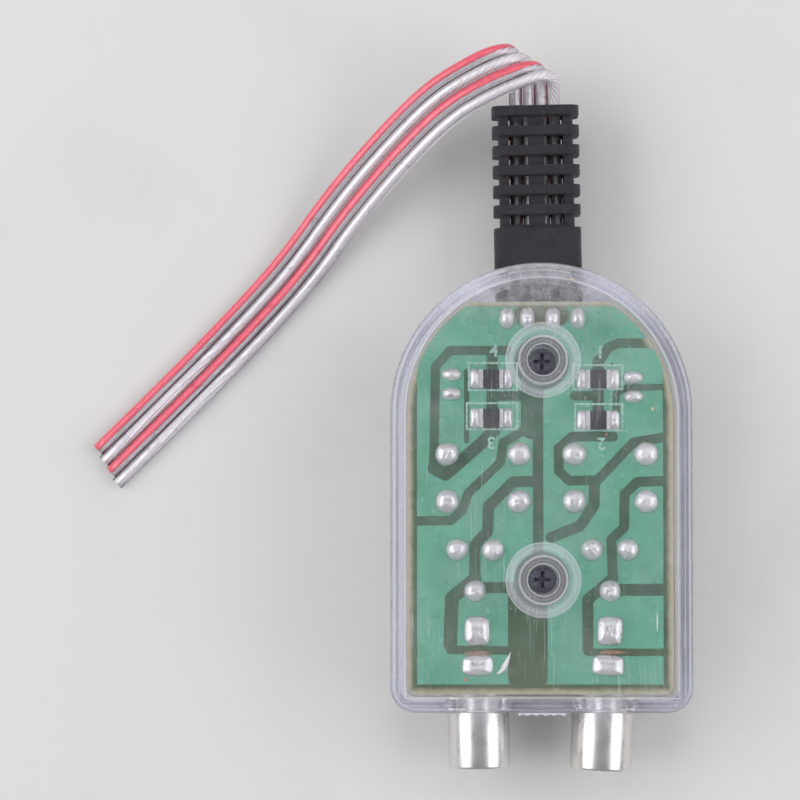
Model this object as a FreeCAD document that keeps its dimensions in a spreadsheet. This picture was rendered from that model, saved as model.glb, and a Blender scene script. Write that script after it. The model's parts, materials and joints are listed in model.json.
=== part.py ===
"""Line output converter: a clear two-shell case with its circuit board, two phono jacks and a cable.

The converter lies on its back. Z = 0 is the resting face of the rear shell, Y = 0 is the middle of the
case, +Y points to the cable and +X to the right of the front face. All sizes are millimetres and degrees.
"""
import FreeCAD, Part

import math
import os
import re

import Sketcher

Vector = FreeCAD.Vector

# Driving dimensions

DIMENSIONS = {
    # Case
    "case_width": 39.8,
    "case_length": 59.3,
    "case_height": 22.0,
    "wall": 2.0,
    "face_thickness": 2.0,
    "parting_height": 7.2,
    "corner_radius": 3.4,
    "edge_round": 0.8,
    "lip_height": 1.0,
    "lip_thickness": 0.9,
    "lip_gap": 0.1,
    "gate_x": 0.2,
    "gate_width": 6.8,
    "gate_height": 2.6,
    "gate_depth": 0.45,
    "gate_level": 17.4,
    "gate_notch": 0.25,
    "gate_root": 0.1,
    # Screw bosses and screws
    "boss_x": 0.25,
    "boss_upper_y": 16.8,
    "boss_lower_y": -12.2,
    "boss_radius": 3.15,
    "pillar_radius": 3.0,
    "dish_radius": 4.95,
    "dish_depth": 0.25,
    "recess_radius": 2.05,
    "seat_thickness": 1.2,
    "shank_gap": 0.2,
    "pilot_gap": 0.05,
    "pilot_depth": 9.4,
    "head_radius": 1.65,
    "head_height": 1.3,
    "shank_radius": 0.95,
    "screw_length": 11.0,
    "point_length": 1.2,
    "head_rim": 0.8,
    "crown_radius": 1.15,
    "point_radius": 0.3,
    "drive_width": 0.5,
    "drive_span": 2.2,
    "drive_depth": 0.7,
    # Circuit board
    "board_level": 12.4,
    "board_thickness": 1.6,
    "board_gap": 0.12,
    "board_top_edge": 24.95,
    "board_hole_radius": 1.6,
    "drill_radius": 0.5,
    "leg_gap": 0.25,
    "strand_gap": 0.15,
    "copper_thickness": 0.07,
    "copper_margin": 1.35,
    "copper_arch_margin": 0.2,
    "copper_top_margin": 0.65,
    "copper_boss_gap": 0.5,
    # Chip resistors
    "chip_left_x": -6.5,
    "chip_right_x": 7.8,
    "chip_left_upper_y": 14.6,
    "chip_left_lower_y": 9.35,
    "chip_right_upper_y": 14.55,
    "chip_right_lower_y": 9.05,
    "chip_length": 3.2,
    "chip_width": 2.5,
    "chip_height": 0.6,
    "chip_cap": 0.5,
    # Audio transformers
    "transformer_left_room": 0.3774,
    "transformer_right_room": 0.2075,
    "transformer_y": 1.4,
    "transformer_pin_x": 4.8,
    "transformer_pin_y": 3.15,
    "core_span": 12.6,
    "core_breadth": 13.2,
    "core_stack": 4.8,
    "core_leg": 1.6,
    "core_tongue": 3.2,
    "core_drop": 4.5,
    "bobbin_gap": 0.1,
    "bobbin_wall": 0.6,
    "winding_build": 1.2,
    "winding_round": 0.9,
    "rail_width": 1.6,
    "flange_margin": 0.5,
    "pin_side": 0.6,
    # Trimmers
    "trimmer_left_x": -8.7,
    "trimmer_right_x": 9.3,
    "trimmer_y": -10.98,
    "trimmer_radius": 3.5,
    "trimmer_corner": 0.6,
    "trimmer_pin_x": 2.4,
    "trimmer_pin_y": 2.75,
    "trimmer_standoff": 1.2,
    "trimmer_base_thickness": 1.5,
    "foot_radius": 0.5,
    "foot_inset": 0.2,
    "foot_offset": 0.5,
    "rotor_radius": 2.6,
    "rotor_height": 2.0,
    "rotor_chamfer": 0.3,
    "rotor_pin_radius": 0.9,
    "rotor_pin_gap": 0.05,
    "rotor_rivet_radius": 1.3,
    "rotor_rivet_height": 0.4,
    "rotor_rivet_chamfer": 0.2,
    "rotor_slot_width": 0.6,
    "rotor_slot_depth": 0.9,
    "rotor_slot_span": 3.6,
    "wiper_thickness": 0.2,
    "wiper_gap": 0.1,
    "wiper_radius": 2.2,
    "wiper_arm_width": 0.9,
    "wiper_arm_reach": 2.9,
    "access_radius": 2.0,
    # Electrolytic capacitors
    "capacitor_left_inset": 6.1,
    "capacitor_right_inset": 5.4,
    "capacitor_left_y": 13.9,
    "capacitor_right_y": 13.5,
    "capacitor_radius": 3.15,
    "capacitor_height": 7.7,
    "capacitor_lift": 0.2,
    "capacitor_groove": 0.3,
    "capacitor_groove_height": 1.3,
    "capacitor_round": 0.4,
    "capacitor_lead_pitch": 2.6,
    "capacitor_lead_radius": 0.3,
    # Phono jacks
    "jack_left_x": -8.2,
    "jack_right_x": 8.75,
    "jack_left_reach": 8.15,
    "jack_right_reach": 8.4,
    "jack_left_toe": 1.2,
    "jack_right_toe": 2.9,
    "jack_hole_gap": 0.4,
    "sleeve_radius": 4.2,
    "sleeve_bore": 3.35,
    "sleeve_rim": 0.4,
    "sleeve_stop": 0.45,
    "neck_radius": 4.0,
    "collar_radius": 4.9,
    "collar_thickness": 1.0,
    "collar_gap": 0.35,
    "barrel_depth": 6.4,
    "sleeve_leg_y": 6.1,
    "sleeve_leg_width": 2.4,
    "sleeve_leg_thickness": 0.5,
    "insulator_inset": 0.8,
    "insulator_depth": 8.9,
    "jack_fit_gap": 0.05,
    "contact_bore": 1.6,
    "contact_wall": 0.4,
    "contact_inset": 1.0,
    "contact_depth": 9.4,
    "contact_end": 1.0,
    "contact_leg_y": 10.8,
    "contact_leg_width": 1.6,
    "contact_leg_thickness": 0.4,
    # Strain relief
    "relief_length": 22.3,
    "relief_width": 11.8,
    "relief_height": 7.0,
    "relief_round": 1.5,
    "relief_gap": 0.2,
    "relief_lean": 1.1,
    "block_length": 5.7,
    "block_sink": 0.5,
    "core_rubber_root": 0.5,
    "core_rubber_width": 10.1,
    "core_rubber_height": 5.6,
    "ring_thickness": 1.25,
    "ring_pitch": 2.7,
    "neck_width": 8.0,
    "neck_height": 5.0,
    "flange_height": 8.2,
    "flange_thickness": 1.7,
    "window_width": 2.6,
    "window_length": 1.35,
    "window_bar": 2.2,
    # Cable
    "wire_radius": 0.85,
    "wire_pitch": 1.75,
    "cable_gap": 0.3,
    "strand_radius": 0.42,
    "strand_root": 0.4,
    "lead_overhang": 0.2,
    "lead_pad_y": 22.75,
    "lead_outer_left_x": -4.4,
    "lead_inner_left_x": -1.7,
    "lead_inner_right_x": 1.75,
    "lead_outer_right_x": 5.1,
    "lead_bend_drop": 0.7,
    # Solder
    "joint_height": 1.0,
    "joint_top": 0.45,
    "transformer_joint_radius": 1.6,
    "trimmer_joint_radius": 1.45,
    "capacitor_joint_width": 2.7,
    "capacitor_joint_length": 1.75,
    "lead_joint_width": 2.1,
    "lead_joint_length": 2.9,
    "jack_joint_width": 3.7,
    "jack_joint_length": 3.7,
    "chip_joint_width": 1.2,
    "chip_joint_length": 2.8,
    "chip_joint_height": 0.5,
}

RING_COUNT = 6

# Sizes that follow from the driving dimensions

FORMULAS = {
    "case_half": "(case_width / 2)",
    "arch_y": "(case_length / 2 - case_half)",
    "lower_y": "(-case_length / 2)",
    "inner_half": "(case_half - wall)",
    "inner_lower_y": "(lower_y + wall)",
    "inner_corner": "(corner_radius - wall)",
    "ceiling": "(case_height - face_thickness)",
    "lip_half": "(inner_half + lip_thickness)",
    "rebate_half": "(lip_half + lip_gap)",
    "board_half": "(inner_half - board_gap)",
    "board_lower_y": "(inner_lower_y + board_gap)",
    "board_top": "(board_level + board_thickness)",
    "copper_top": "(board_top + copper_thickness)",
    "seat_level": "(board_top + seat_thickness)",
    "spare_width": "(2 * (inner_half - core_span))",
    "transformer_left_x": "(core_span / 2 - inner_half + transformer_left_room * spare_width)",
    "transformer_right_x": "(inner_half - core_span / 2 - transformer_right_room * spare_width)",
    "core_level": "(board_level - core_drop)",
    "coil_half_y": "(core_tongue / 2 + bobbin_gap + bobbin_wall + winding_build)",
    "coil_half_z": "(core_stack / 2 + bobbin_gap + bobbin_wall + winding_build)",
    "bobbin_half": "(core_span / 2 - core_leg - bobbin_gap)",
    "rail_level": "(core_level + core_stack / 2 + bobbin_gap)",
    "rail_top": "(core_level + coil_half_z)",
    "trimmer_top": "(board_level - trimmer_standoff)",
    "trimmer_bottom": "(trimmer_top - trimmer_base_thickness)",
    "wiper_top": "(trimmer_bottom - wiper_gap)",
    "rotor_top": "(wiper_top - wiper_thickness)",
    "capacitor_left_x": "(capacitor_left_inset - inner_half)",
    "capacitor_right_x": "(inner_half - capacitor_right_inset)",
    "capacitor_top": "(board_level - capacitor_lift)",
    "jack_level": "parting_height",
    "contact_radius": "(contact_bore + contact_wall)",
    "insulator_radius": "(sleeve_bore - jack_fit_gap)",
    "relief_y": "(case_length / 2)",
    "cable_width": "(3 * wire_pitch + 2 * wire_radius + 2 * cable_gap)",
    "cable_height": "(2 * wire_radius + 2 * cable_gap)",
    "relief_inner": "(wall + flange_thickness + block_sink)",
}

# Places along the gate's torn edge, as shares of its width

GATE_TEETH = (-0.46, -0.39, -0.31, -0.2, -0.14, -0.02, 0.04, 0.16, 0.21, 0.3, 0.41)

# Bare stretches of the board between the copper areas: width, then points from end to end

CHANNELS = (
    (1.25, ((-4.4, 18.4), (-12.0, 18.4), (-13.95, 16.2), (-14.2, 2.4))),
    (1.7, ((-14.2, 2.6), (-12.6, 1.8), (-7.7, 6.1), (-6.2, 7.6))),
    (0.7, ((-9.8, 15.6), (-9.8, 6.3))),
    (1.5, ((-6.4, 17.8), (-6.4, 7.5))),
    (1.3, ((-6.4, 12.3), (-1.2, 12.3))),
    (3.0, ((-1.05, 13.5), (-1.05, 8.0))),
    (1.4, ((-0.25, 9.0), (-0.25, -8.5))),
    (1.25, ((-1.6, 8.0), (-4.9, 6.1), (-5.3, 3.4), (-9.6, -0.7), (-10.4, -3.0), (-11.9, -4.35))),
    (1.25, ((-11.9, -4.35), (-16.6, -4.4))),
    (1.5, ((-0.4, 0.9), (-3.6, 0.8), (-6.9, -2.5), (-7.0, -5.8), (-8.7, -7.6), (-8.7, -12.1))),
    (1.8, ((-8.7, -12.1), (-11.8, -14.7), (-12.0, -20.9))),
    (1.15, ((-12.0, -21.6), (-2.5, -21.7))),
    (1.5, ((-8.7, -13.3), (-3.0, -13.3))),
    (5.3, ((-1.65, -14.7), (-1.65, -25.0))),
    (1.3, ((17.2, 19.3), (10.6, 19.4), (9.2, 18.8), (7.9, 16.8))),
    (1.5, ((7.8, 17.0), (7.8, 8.0))),
    (1.2, ((7.8, 12.3), (4.6, 12.3))),
    (0.9, ((17.0, 13.5), (11.6, 13.4), (10.2, 12.6), (10.2, 9.6))),
    (1.3, ((9.8, 6.85), (4.3, 6.85), (2.5, 5.3), (2.5, 2.3), (3.9, 0.95), (7.7, 1.05))),
    (1.3, ((7.7, 1.05), (12.5, 6.1), (17.0, 6.85))),
    (1.5, ((7.3, 0.95), (7.2, -2.3), (5.3, -5.1), (1.5, -6.6))),
    (1.35, ((17.0, 0.95), (13.0, 0.8), (11.3, -0.8), (11.2, -5.3), (9.5, -6.9), (9.7, -11.9))),
    (1.5, ((9.7, -12.0), (6.35, -14.9), (6.35, -21.6))),
    (1.0, ((6.35, -21.9), (17.0, -21.9))),
    (1.6, ((9.7, -13.6), (17.0, -13.6))),
)

# Middle line of the flat cable, from the mouth of the strain relief over its fold to the cut ends

CABLE_ROUTE = (
    (-0.428, 51.946, 7.2),
    (-0.493, 55.34, 7.2),
    (-0.59, 57.20, 8.61),
    (-1.62, 57.89, 10.59),
    (-3.44, 57.40, 12.0),
    (-7.4, 55.72, 12.0),
    (-13.6, 52.3, 10.1),
    (-20.6, 45.6, 6.4),
    (-27.0, 38.4, 3.1),
    (-32.6, 30.7, 1.2),
    (-39.2, 23.3, 0.87),
    (-49.3, 12.9, 0.87),
    (-59.3, 3.11, 0.87),
)
CABLE_FOLD_POINTS = (1, 2, 3, 4)
CABLE_FOLD_SHIFT = Vector(1.013, -0.661, 0.0)
ARC_SHARE = 0.45

SIDES = ("left", "right")
LEAD_PADS = ("lead_outer_left_x", "lead_inner_left_x", "lead_inner_right_x", "lead_outer_right_x")


class Model:
    """The document, its sheet of dimensions and the finished pieces."""

    def __init__(self, name):
        self.doc = FreeCAD.newDocument(name)
        self.sheet = self.doc.addObject("Spreadsheet::Sheet", "dims")
        self.pieces = {}
        for row, (alias, number) in enumerate(DIMENSIONS.items(), start=1):
            self.sheet.set(f"A{row}", alias)
            self.sheet.set(f"B{row}", str(number))
            self.sheet.setAlias(f"B{row}", alias)
        self.doc.recompute()

    def formula(self, text):
        """Writes a formula in full, down to cells of the sheet."""
        text = str(text)
        words = re.findall(r"[a-z_]+", text)
        while any(word in FORMULAS for word in words):
            text = re.sub(r"[a-z_]+", lambda word: FORMULAS.get(word.group(), word.group()), text)
            words = re.findall(r"[a-z_]+", text)
        return re.sub(r"[a-z_]+", lambda word: self.cell(word.group()), text)

    def cell(self, word):
        """Returns a dimension's name in the sheet, and any other word as it is."""
        return f"dims.{word}" if word in DIMENSIONS else word

    def number(self, text):
        """Works a formula out."""
        return float(self.sheet.evalExpression(self.formula(text)))

    def bind(self, item, prop, text):
        """Ties a property to the sheet."""
        item.setExpression(prop, self.formula(text))

    def place(self, item, x="0", y="0", z="0", turn=None):
        """Ties an object's position, and its turn about Z, to the sheet."""
        item.Placement = FreeCAD.Placement(Vector(), FreeCAD.Rotation(Vector(0, 0, 1), 1.0 if turn else 0.0))
        for axis, text in (("x", x), ("y", y), ("z", z)):
            self.bind(item, f"Placement.Base.{axis}", text)
        if turn:
            self.bind(item, "Placement.Rotation.Angle", turn)

    def keep(self, item, label):
        """Names a finished piece."""
        item.Label = label
        self.pieces[label] = item
        return item

    # Simple solids

    def box(self, name, low, size):
        """Makes a box from its low corner and its size."""
        item = self.doc.addObject("Part::Box", name)
        for prop, text in zip(("Length", "Width", "Height"), size):
            self.bind(item, prop, text)
        self.place(item, *low)
        return item

    def centred_box(self, name, middle, size, level):
        """Makes a box from the middle of its plan, its size and the level of its underside."""
        low = (f"{middle[0]} - ({size[0]}) / 2", f"{middle[1]} - ({size[1]}) / 2", level)
        return self.box(name, low, size)

    def cylinder(self, name, middle, radius, level, height):
        """Makes an upright cylinder."""
        item = self.doc.addObject("Part::Cylinder", name)
        self.bind(item, "Radius", radius)
        self.bind(item, "Height", height)
        self.place(item, middle[0], middle[1], level)
        return item

    def join(self, name, items):
        """Fuses solids into one."""
        item = self.doc.addObject("Part::MultiFuse", name)
        item.Shapes = items
        return item

    def cut(self, name, base, tool):
        """Cuts one solid out of another."""
        item = self.doc.addObject("Part::Cut", name)
        item.Base = base
        item.Tool = tool
        return item

    def group(self, name, items):
        """Collects separate solids in one compound."""
        item = self.doc.addObject("Part::Compound", name)
        item.Links = items
        return item


class Outline:
    """A sketch whose points and radii are tied to the sheet."""

    def __init__(self, model, sketch):
        self.model = model
        self.sketch = sketch

    def hold(self, kind, refs, text):
        """Adds a constraint that the sheet drives."""
        constraint = Sketcher.Constraint(kind, *refs, self.model.number(text))
        index = self.sketch.addConstraint(constraint)
        self.sketch.setExpression(f"Constraints[{index}]", self.model.formula(text))

    def pin(self, geometry, point, x, y):
        """Holds a point at its distances from the sketch's origin."""
        self.hold("DistanceX", (-1, 1, geometry, point), x)
        self.hold("DistanceY", (-1, 1, geometry, point), y)

    def circle(self, x, y, radius):
        """Draws a circle."""
        number = self.model.number
        middle = Vector(number(x), number(y), 0)
        index = self.sketch.addGeometry(Part.Circle(middle, Vector(0, 0, 1), number(radius)), False)
        self.pin(index, 3, x, y)
        self.hold("Radius", (index,), radius)

    def polygon(self, points):
        """Draws a closed outline of straight lines."""
        places = [Vector(self.model.number(x), self.model.number(y), 0) for x, y in points]
        following = places[1:] + places[:1]
        lines = [Part.LineSegment(start, end) for start, end in zip(places, following)]
        first = self.sketch.addGeometry(lines, False)[0]
        count = len(points)
        for index, (x, y) in enumerate(points):
            after = first + (index + 1) % count
            self.sketch.addConstraint(Sketcher.Constraint("Coincident", first + index, 2, after, 1))
            self.pin(first + index, 1, x, y)

    def rectangle(self, x, y, width, height):
        """Draws a rectangle about its middle."""
        left, right = f"{x} - ({width}) / 2", f"{x} + ({width}) / 2"
        low, high = f"{y} - ({height}) / 2", f"{y} + ({height}) / 2"
        self.polygon(((left, low), (right, low), (right, high), (left, high)))

    def loop(self, pieces, joints):
        """Adds lines and arcs that run tangentially into each other, and returns the first index."""
        first = self.sketch.addGeometry(pieces, False)[0]
        count = len(pieces)
        for index in joints:
            after = first + (index + 1) % count
            self.sketch.addConstraint(Sketcher.Constraint("Tangent", first + index, 2, after, 1))
        return first

    def arch(self, half, middle_y, lower_y, corner):
        """Draws the case's outline: a half circle at the top, straight sides and two rounded corners."""
        number = self.model.number
        radius, centre, low, round_off = number(half), number(middle_y), number(lower_y), number(corner)
        up = Vector(0, 0, 1)
        quarter = math.pi / 2
        left_corner = Part.Circle(Vector(round_off - radius, low + round_off, 0), up, round_off)
        right_corner = Part.Circle(Vector(radius - round_off, low + round_off, 0), up, round_off)
        first = self.loop([
            Part.ArcOfCircle(Part.Circle(Vector(0, centre, 0), up, radius), 0, math.pi),
            Part.LineSegment(Vector(-radius, centre, 0), Vector(-radius, low + round_off, 0)),
            Part.ArcOfCircle(left_corner, 2 * quarter, 3 * quarter),
            Part.LineSegment(Vector(round_off - radius, low, 0), Vector(radius - round_off, low, 0)),
            Part.ArcOfCircle(right_corner, 3 * quarter, 4 * quarter),
            Part.LineSegment(Vector(radius, low + round_off, 0), Vector(radius, centre, 0)),
        ], range(6))
        self.sketch.addConstraint(Sketcher.Constraint("Vertical", first + 1))
        self.sketch.addConstraint(Sketcher.Constraint("Horizontal", first + 3))
        self.sketch.addConstraint(Sketcher.Constraint("Vertical", first + 5))
        self.pin(first, 3, "0", middle_y)
        self.hold("Radius", (first,), half)
        self.hold("Radius", (first + 2,), corner)
        self.hold("Radius", (first + 4,), corner)
        self.hold("DistanceY", (-1, 1, first + 3, 1), lower_y)

    def rounded_rectangle(self, x, y, width, height, corner):
        """Draws a rectangle with rounded corners about its middle."""
        number = self.model.number
        half_x, half_y, radius = number(width) / 2, number(height) / 2, number(corner)
        middle = Vector(number(x), number(y), 0)
        pieces = []
        for turn in range(4):
            across, along = (half_x, half_y) if turn % 2 == 0 else (half_y, half_x)
            quarter = FreeCAD.Rotation(Vector(0, 0, 1), 90 * turn)
            start = middle + quarter.multVec(Vector(across, radius - along, 0))
            end = middle + quarter.multVec(Vector(across, along - radius, 0))
            centre = middle + quarter.multVec(Vector(across - radius, along - radius, 0))
            angle = math.pi / 2 * turn
            circle = Part.Circle(centre, Vector(0, 0, 1), radius)
            pieces.append(Part.LineSegment(start, end))
            pieces.append(Part.ArcOfCircle(circle, angle, angle + math.pi / 2))
        first = self.loop(pieces, range(8))
        for index, kind in ((0, "Vertical"), (2, "Horizontal"), (4, "Vertical"), (6, "Horizontal")):
            self.sketch.addConstraint(Sketcher.Constraint(kind, first + index))
        for index in (1, 3, 5, 7):
            self.hold("Radius", (first + index,), corner)
        self.hold("DistanceX", (-1, 1, first, 1), f"{x} + ({width}) / 2")
        self.hold("DistanceY", (-1, 1, first + 2, 1), f"{y} + ({height}) / 2")
        self.hold("DistanceX", (-1, 1, first + 4, 1), f"{x} - ({width}) / 2")
        self.hold("DistanceY", (-1, 1, first + 6, 1), f"{y} - ({height}) / 2")


class Moulding:
    """One piece that is built feature by feature in a body."""

    def __init__(self, model, label):
        self.model = model
        self.body = model.doc.addObject("PartDesign::Body", label)
        model.keep(self.body, label)

    def origin(self, role):
        """Finds one of the body's own planes or axes."""
        return next(item for item in self.body.Origin.OriginFeatures if item.Role == role)

    def sketch(self, plane="XY_Plane", offset="0"):
        """Starts a sketch on a plane, shifted along the plane's normal."""
        sketch = self.body.newObject("Sketcher::SketchObject", "outline")
        sketch.AttachmentSupport = [(self.origin(plane), "")]
        sketch.MapMode = "FlatFace"
        self.model.bind(sketch, "AttachmentOffset.Base.z", offset)
        return Outline(self.model, sketch)

    def pad(self, outline, length, reverse=False):
        """Raises material from a sketch, on its normal's side unless reversed."""
        return self.extrude("PartDesign::Pad", outline, length, reverse)

    def pocket(self, outline, length, reverse=False):
        """Cuts away on the far side of the sketch's normal unless reversed."""
        return self.extrude("PartDesign::Pocket", outline, length, reverse)

    def extrude(self, kind, outline, length, reverse):
        """Adds a pad or a pocket."""
        feature = self.body.newObject(kind, kind.split("::")[1].lower())
        feature.Profile = outline.sketch
        feature.Reversed = reverse
        self.model.bind(feature, "Length", length)
        return feature

    def revolve(self, outline, kind="Revolution", axis="V_Axis"):
        """Turns a sketch about its own axis, to add or to cut."""
        feature = self.body.newObject(f"PartDesign::{kind}", kind.lower())
        feature.Profile = outline.sketch
        feature.ReferenceAxis = (outline.sketch, [axis])
        feature.Angle = 360
        return feature

    def fillet(self, radius, chosen):
        """Rounds the edges that a test picks."""
        self.model.doc.recompute()
        base = self.body.Tip
        names = [f"Edge{index}" for index, edge in enumerate(base.Shape.Edges, start=1) if chosen(edge)]
        feature = self.body.newObject("PartDesign::Fillet", "round")
        feature.Base = (base, names)
        self.model.bind(feature, "Radius", radius)
        return feature

    def repeat(self, feature, axis, pitch, count, reverse=False):
        """Repeats a feature in a row."""
        pattern = self.body.newObject("PartDesign::LinearPattern", "row")
        pattern.Originals = [feature]
        pattern.Direction = (self.origin(axis), [""])
        pattern.Reversed = reverse
        self.model.bind(pattern, "Length", f"({pitch}) * {count - 1}")
        pattern.Occurrences = count
        self.body.Tip = pattern
        return pattern


def lies_at_level(model, level):
    """Returns a test for edges that lie flat at a level."""
    height = model.number(level)
    return lambda edge: abs(edge.BoundBox.ZMin - height) < 1e-4 and abs(edge.BoundBox.ZMax - height) < 1e-4


# Case


def cut_wall_openings(model, shell):
    """Cuts the jack holes in the lower wall and the cable slot in the arch."""
    holes = shell.sketch("XZ_Plane", "-lower_y + wall")
    for side in SIDES:
        holes.circle(f"jack_{side}_x", "jack_level", "sleeve_radius + jack_hole_gap")
    shell.pocket(holes, "3 * wall")
    slot = shell.sketch("XZ_Plane", "-relief_y + 2 * wall")
    slot.rectangle("0", "parting_height", "neck_width + 2 * relief_gap", "neck_height + 2 * relief_gap")
    shell.pocket(slot, "3 * wall")


def front_shell(model):
    """The clear front shell: face, side walls, two bosses and the gate stub on the lower wall."""
    shell = Moulding(model, "front_shell")
    outside = shell.sketch(offset="parting_height")
    outside.arch("case_half", "arch_y", "lower_y", "corner_radius")
    shell.pad(outside, "case_height - parting_height")
    shell.fillet("edge_round", lies_at_level(model, "case_height"))
    hollow = shell.sketch(offset="parting_height")
    hollow.arch("inner_half", "arch_y", "inner_lower_y", "inner_corner")
    shell.pocket(hollow, "ceiling - parting_height", reverse=True)
    rebate = shell.sketch(offset="parting_height")
    rebate_inset = "(case_half - rebate_half)"
    rebate.arch("rebate_half", "arch_y", f"lower_y + {rebate_inset}", f"corner_radius - {rebate_inset}")
    shell.pocket(rebate, "lip_height + lip_gap", reverse=True)
    bosses = shell.sketch(offset="board_top")
    dishes = shell.sketch(offset="case_height")
    recesses = shell.sketch(offset="case_height")
    shanks = shell.sketch(offset="case_height")
    for level in ("upper", "lower"):
        middle = f"boss_{level}_y"
        bosses.circle("boss_x", middle, "boss_radius")
        dishes.circle("boss_x", middle, "dish_radius")
        recesses.circle("boss_x", middle, "recess_radius")
        shanks.circle("boss_x", middle, "shank_radius + shank_gap")
    shell.pad(bosses, "ceiling - board_top")
    shell.pocket(dishes, "dish_depth")
    shell.pocket(recesses, "case_height - seat_level")
    shell.pocket(shanks, "case_height - board_top")
    cut_wall_openings(model, shell)
    gate = shell.sketch(offset="gate_level")
    edge = [("gate_x - gate_width / 2", "lower_y + gate_root")]
    for position, share in enumerate(GATE_TEETH):
        depth = "gate_depth - gate_notch" if position % 2 else "gate_depth"
        edge.append((f"gate_x + gate_width * ({share})", f"lower_y - ({depth})"))
    edge.append(("gate_x + gate_width / 2", "lower_y + gate_root"))
    gate.polygon(edge)
    shell.pad(gate, "gate_height")


def rear_shell(model):
    """The clear rear shell: floor, tongue, two screw pillars and two adjuster holes."""
    shell = Moulding(model, "rear_shell")
    outside = shell.sketch()
    outside.arch("case_half", "arch_y", "lower_y", "corner_radius")
    shell.pad(outside, "parting_height")
    shell.fillet("edge_round", lies_at_level(model, "0"))
    tongue = shell.sketch(offset="parting_height")
    tongue_inset = "(case_half - lip_half)"
    tongue.arch("lip_half", "arch_y", f"lower_y + {tongue_inset}", f"corner_radius - {tongue_inset}")
    shell.pad(tongue, "lip_height")
    hollow = shell.sketch(offset="parting_height + lip_height")
    hollow.arch("inner_half", "arch_y", "inner_lower_y", "inner_corner")
    shell.pocket(hollow, "parting_height + lip_height - face_thickness")
    cut_wall_openings(model, shell)
    pillars = shell.sketch(offset="face_thickness")
    pilots = shell.sketch(offset="board_level")
    for level in ("upper", "lower"):
        pillars.circle("boss_x", f"boss_{level}_y", "pillar_radius")
        pilots.circle("boss_x", f"boss_{level}_y", "shank_radius + pilot_gap")
    shell.pad(pillars, "board_level - face_thickness")
    shell.pocket(pilots, "pilot_depth")
    adjusters = shell.sketch(offset="face_thickness")
    for side in SIDES:
        adjusters.circle(f"trimmer_{side}_x", "trimmer_y", "access_radius")
    shell.pocket(adjusters, "face_thickness")


def case_screw(model, level):
    """A self-tapping screw with a cross drive, deep in its boss."""
    screw = Moulding(model, f"case_screw_{level}")
    tip = "seat_level - screw_length"
    profile = screw.sketch("XZ_Plane")
    profile.polygon((
        ("0", tip),
        ("point_radius", tip),
        ("shank_radius", f"{tip} + point_length"),
        ("shank_radius", "seat_level"),
        ("head_radius", "seat_level"),
        ("head_radius", "seat_level + head_rim"),
        ("crown_radius", "seat_level + head_height"),
        ("0", "seat_level + head_height"),
    ))
    screw.revolve(profile)
    for width, length in (("drive_width", "drive_span"), ("drive_span", "drive_width")):
        drive = screw.sketch(offset="seat_level + head_height")
        drive.rectangle("0", "0", width, length)
        screw.pocket(drive, "drive_depth")
    model.place(screw.body, "boss_x", f"boss_{level}_y")


# Circuit board


def drill_places():
    """Lists the board's round holes as x, y and radius."""
    places = [("boss_x", f"boss_{level}_y", "board_hole_radius") for level in ("upper", "lower")]
    for side in SIDES:
        places += [(x, y, "drill_radius") for x, y in transformer_pins(side)]
        places += [(x, y, "drill_radius") for x, y in trimmer_pins(side)]
        places += [(x, y, "drill_radius") for x, y in capacitor_pins(side)]
    places += [(x, "lead_pad_y", "strand_radius + strand_gap") for x in LEAD_PADS]
    return places


def circuit_board(model):
    """The board: the case's inner outline with a straight upper edge, drilled for every leg."""
    board = Moulding(model, "circuit_board")
    outline = board.sketch(offset="board_level")
    outline.arch("board_half", "arch_y", "board_lower_y", "inner_corner - board_gap")
    board.pad(outline, "board_thickness")
    trim = board.sketch(offset="board_top")
    trim.polygon((
        ("-case_half", "board_top_edge"),
        ("case_half", "board_top_edge"),
        ("case_half", "relief_y"),
        ("-case_half", "relief_y"),
    ))
    board.pocket(trim, "board_thickness")
    holes = board.sketch(offset="board_top")
    for x, y, radius in drill_places():
        holes.circle(x, y, radius)
    board.pocket(holes, "board_thickness")
    slots = board.sketch(offset="board_top")
    for side in SIDES:
        for leg in ("sleeve_leg", "contact_leg"):
            x, y = jack_leg(side, f"{leg}_y")
            slots.rectangle(x, y, f"{leg}_width + 2 * leg_gap", f"{leg}_thickness + 2 * leg_gap")
    board.pocket(slots, "board_thickness")


def stroke(points, width, level, height):
    """Makes a flat bar of one width along straight runs, with rounded bends."""
    places = [Vector(x, y, level) for x, y in points]
    up = Vector(0, 0, 1)
    solids = [Part.makeCylinder(width / 2, height, place, up) for place in places]
    for start, end in zip(places, places[1:]):
        along = end - start
        across = up.cross(along).normalize() * (width / 2)
        corners = [start - across, end - across, end + across, start + across, start - across]
        solids.append(Part.Face(Part.makePolygon(corners)).extrude(up * height))
    return solids[0].fuse(solids[1:])


def copper_tracks(model):
    """The copper under the solder mask: the board's area less the bare channels and the boss seats."""
    number = model.number
    level, height = number("board_top"), number("copper_thickness")
    half = number("board_half - copper_margin")
    low, high = number("board_lower_y + copper_margin"), number("board_top_edge - copper_top_margin")
    arch_y, arch_radius = number("arch_y"), number("board_half - copper_arch_margin")
    up = Vector(0, 0, 1)
    disc = Part.makeCylinder(arch_radius, height, Vector(0, arch_y, level), up)
    below = Part.makeBox(2 * arch_radius, arch_y - low, height, Vector(-arch_radius, low, level))
    plain = Part.makeBox(2 * half, high - low, height, Vector(-half, low, level))
    sheet = disc.fuse(below).common(plain)
    cutters = [stroke(points, width, level, height) for width, points in CHANNELS]
    for name in ("upper", "lower"):
        radius = number("boss_radius + copper_boss_gap")
        middle = Vector(number("boss_x"), number(f"boss_{name}_y"), level)
        cutters.append(Part.makeCylinder(radius, height, middle, up))
    feature = model.doc.addObject("Part::Feature", "copper")
    feature.Shape = sheet.cut(cutters).removeSplitter()
    model.keep(feature, "copper_tracks")


# Parts on the board


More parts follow.
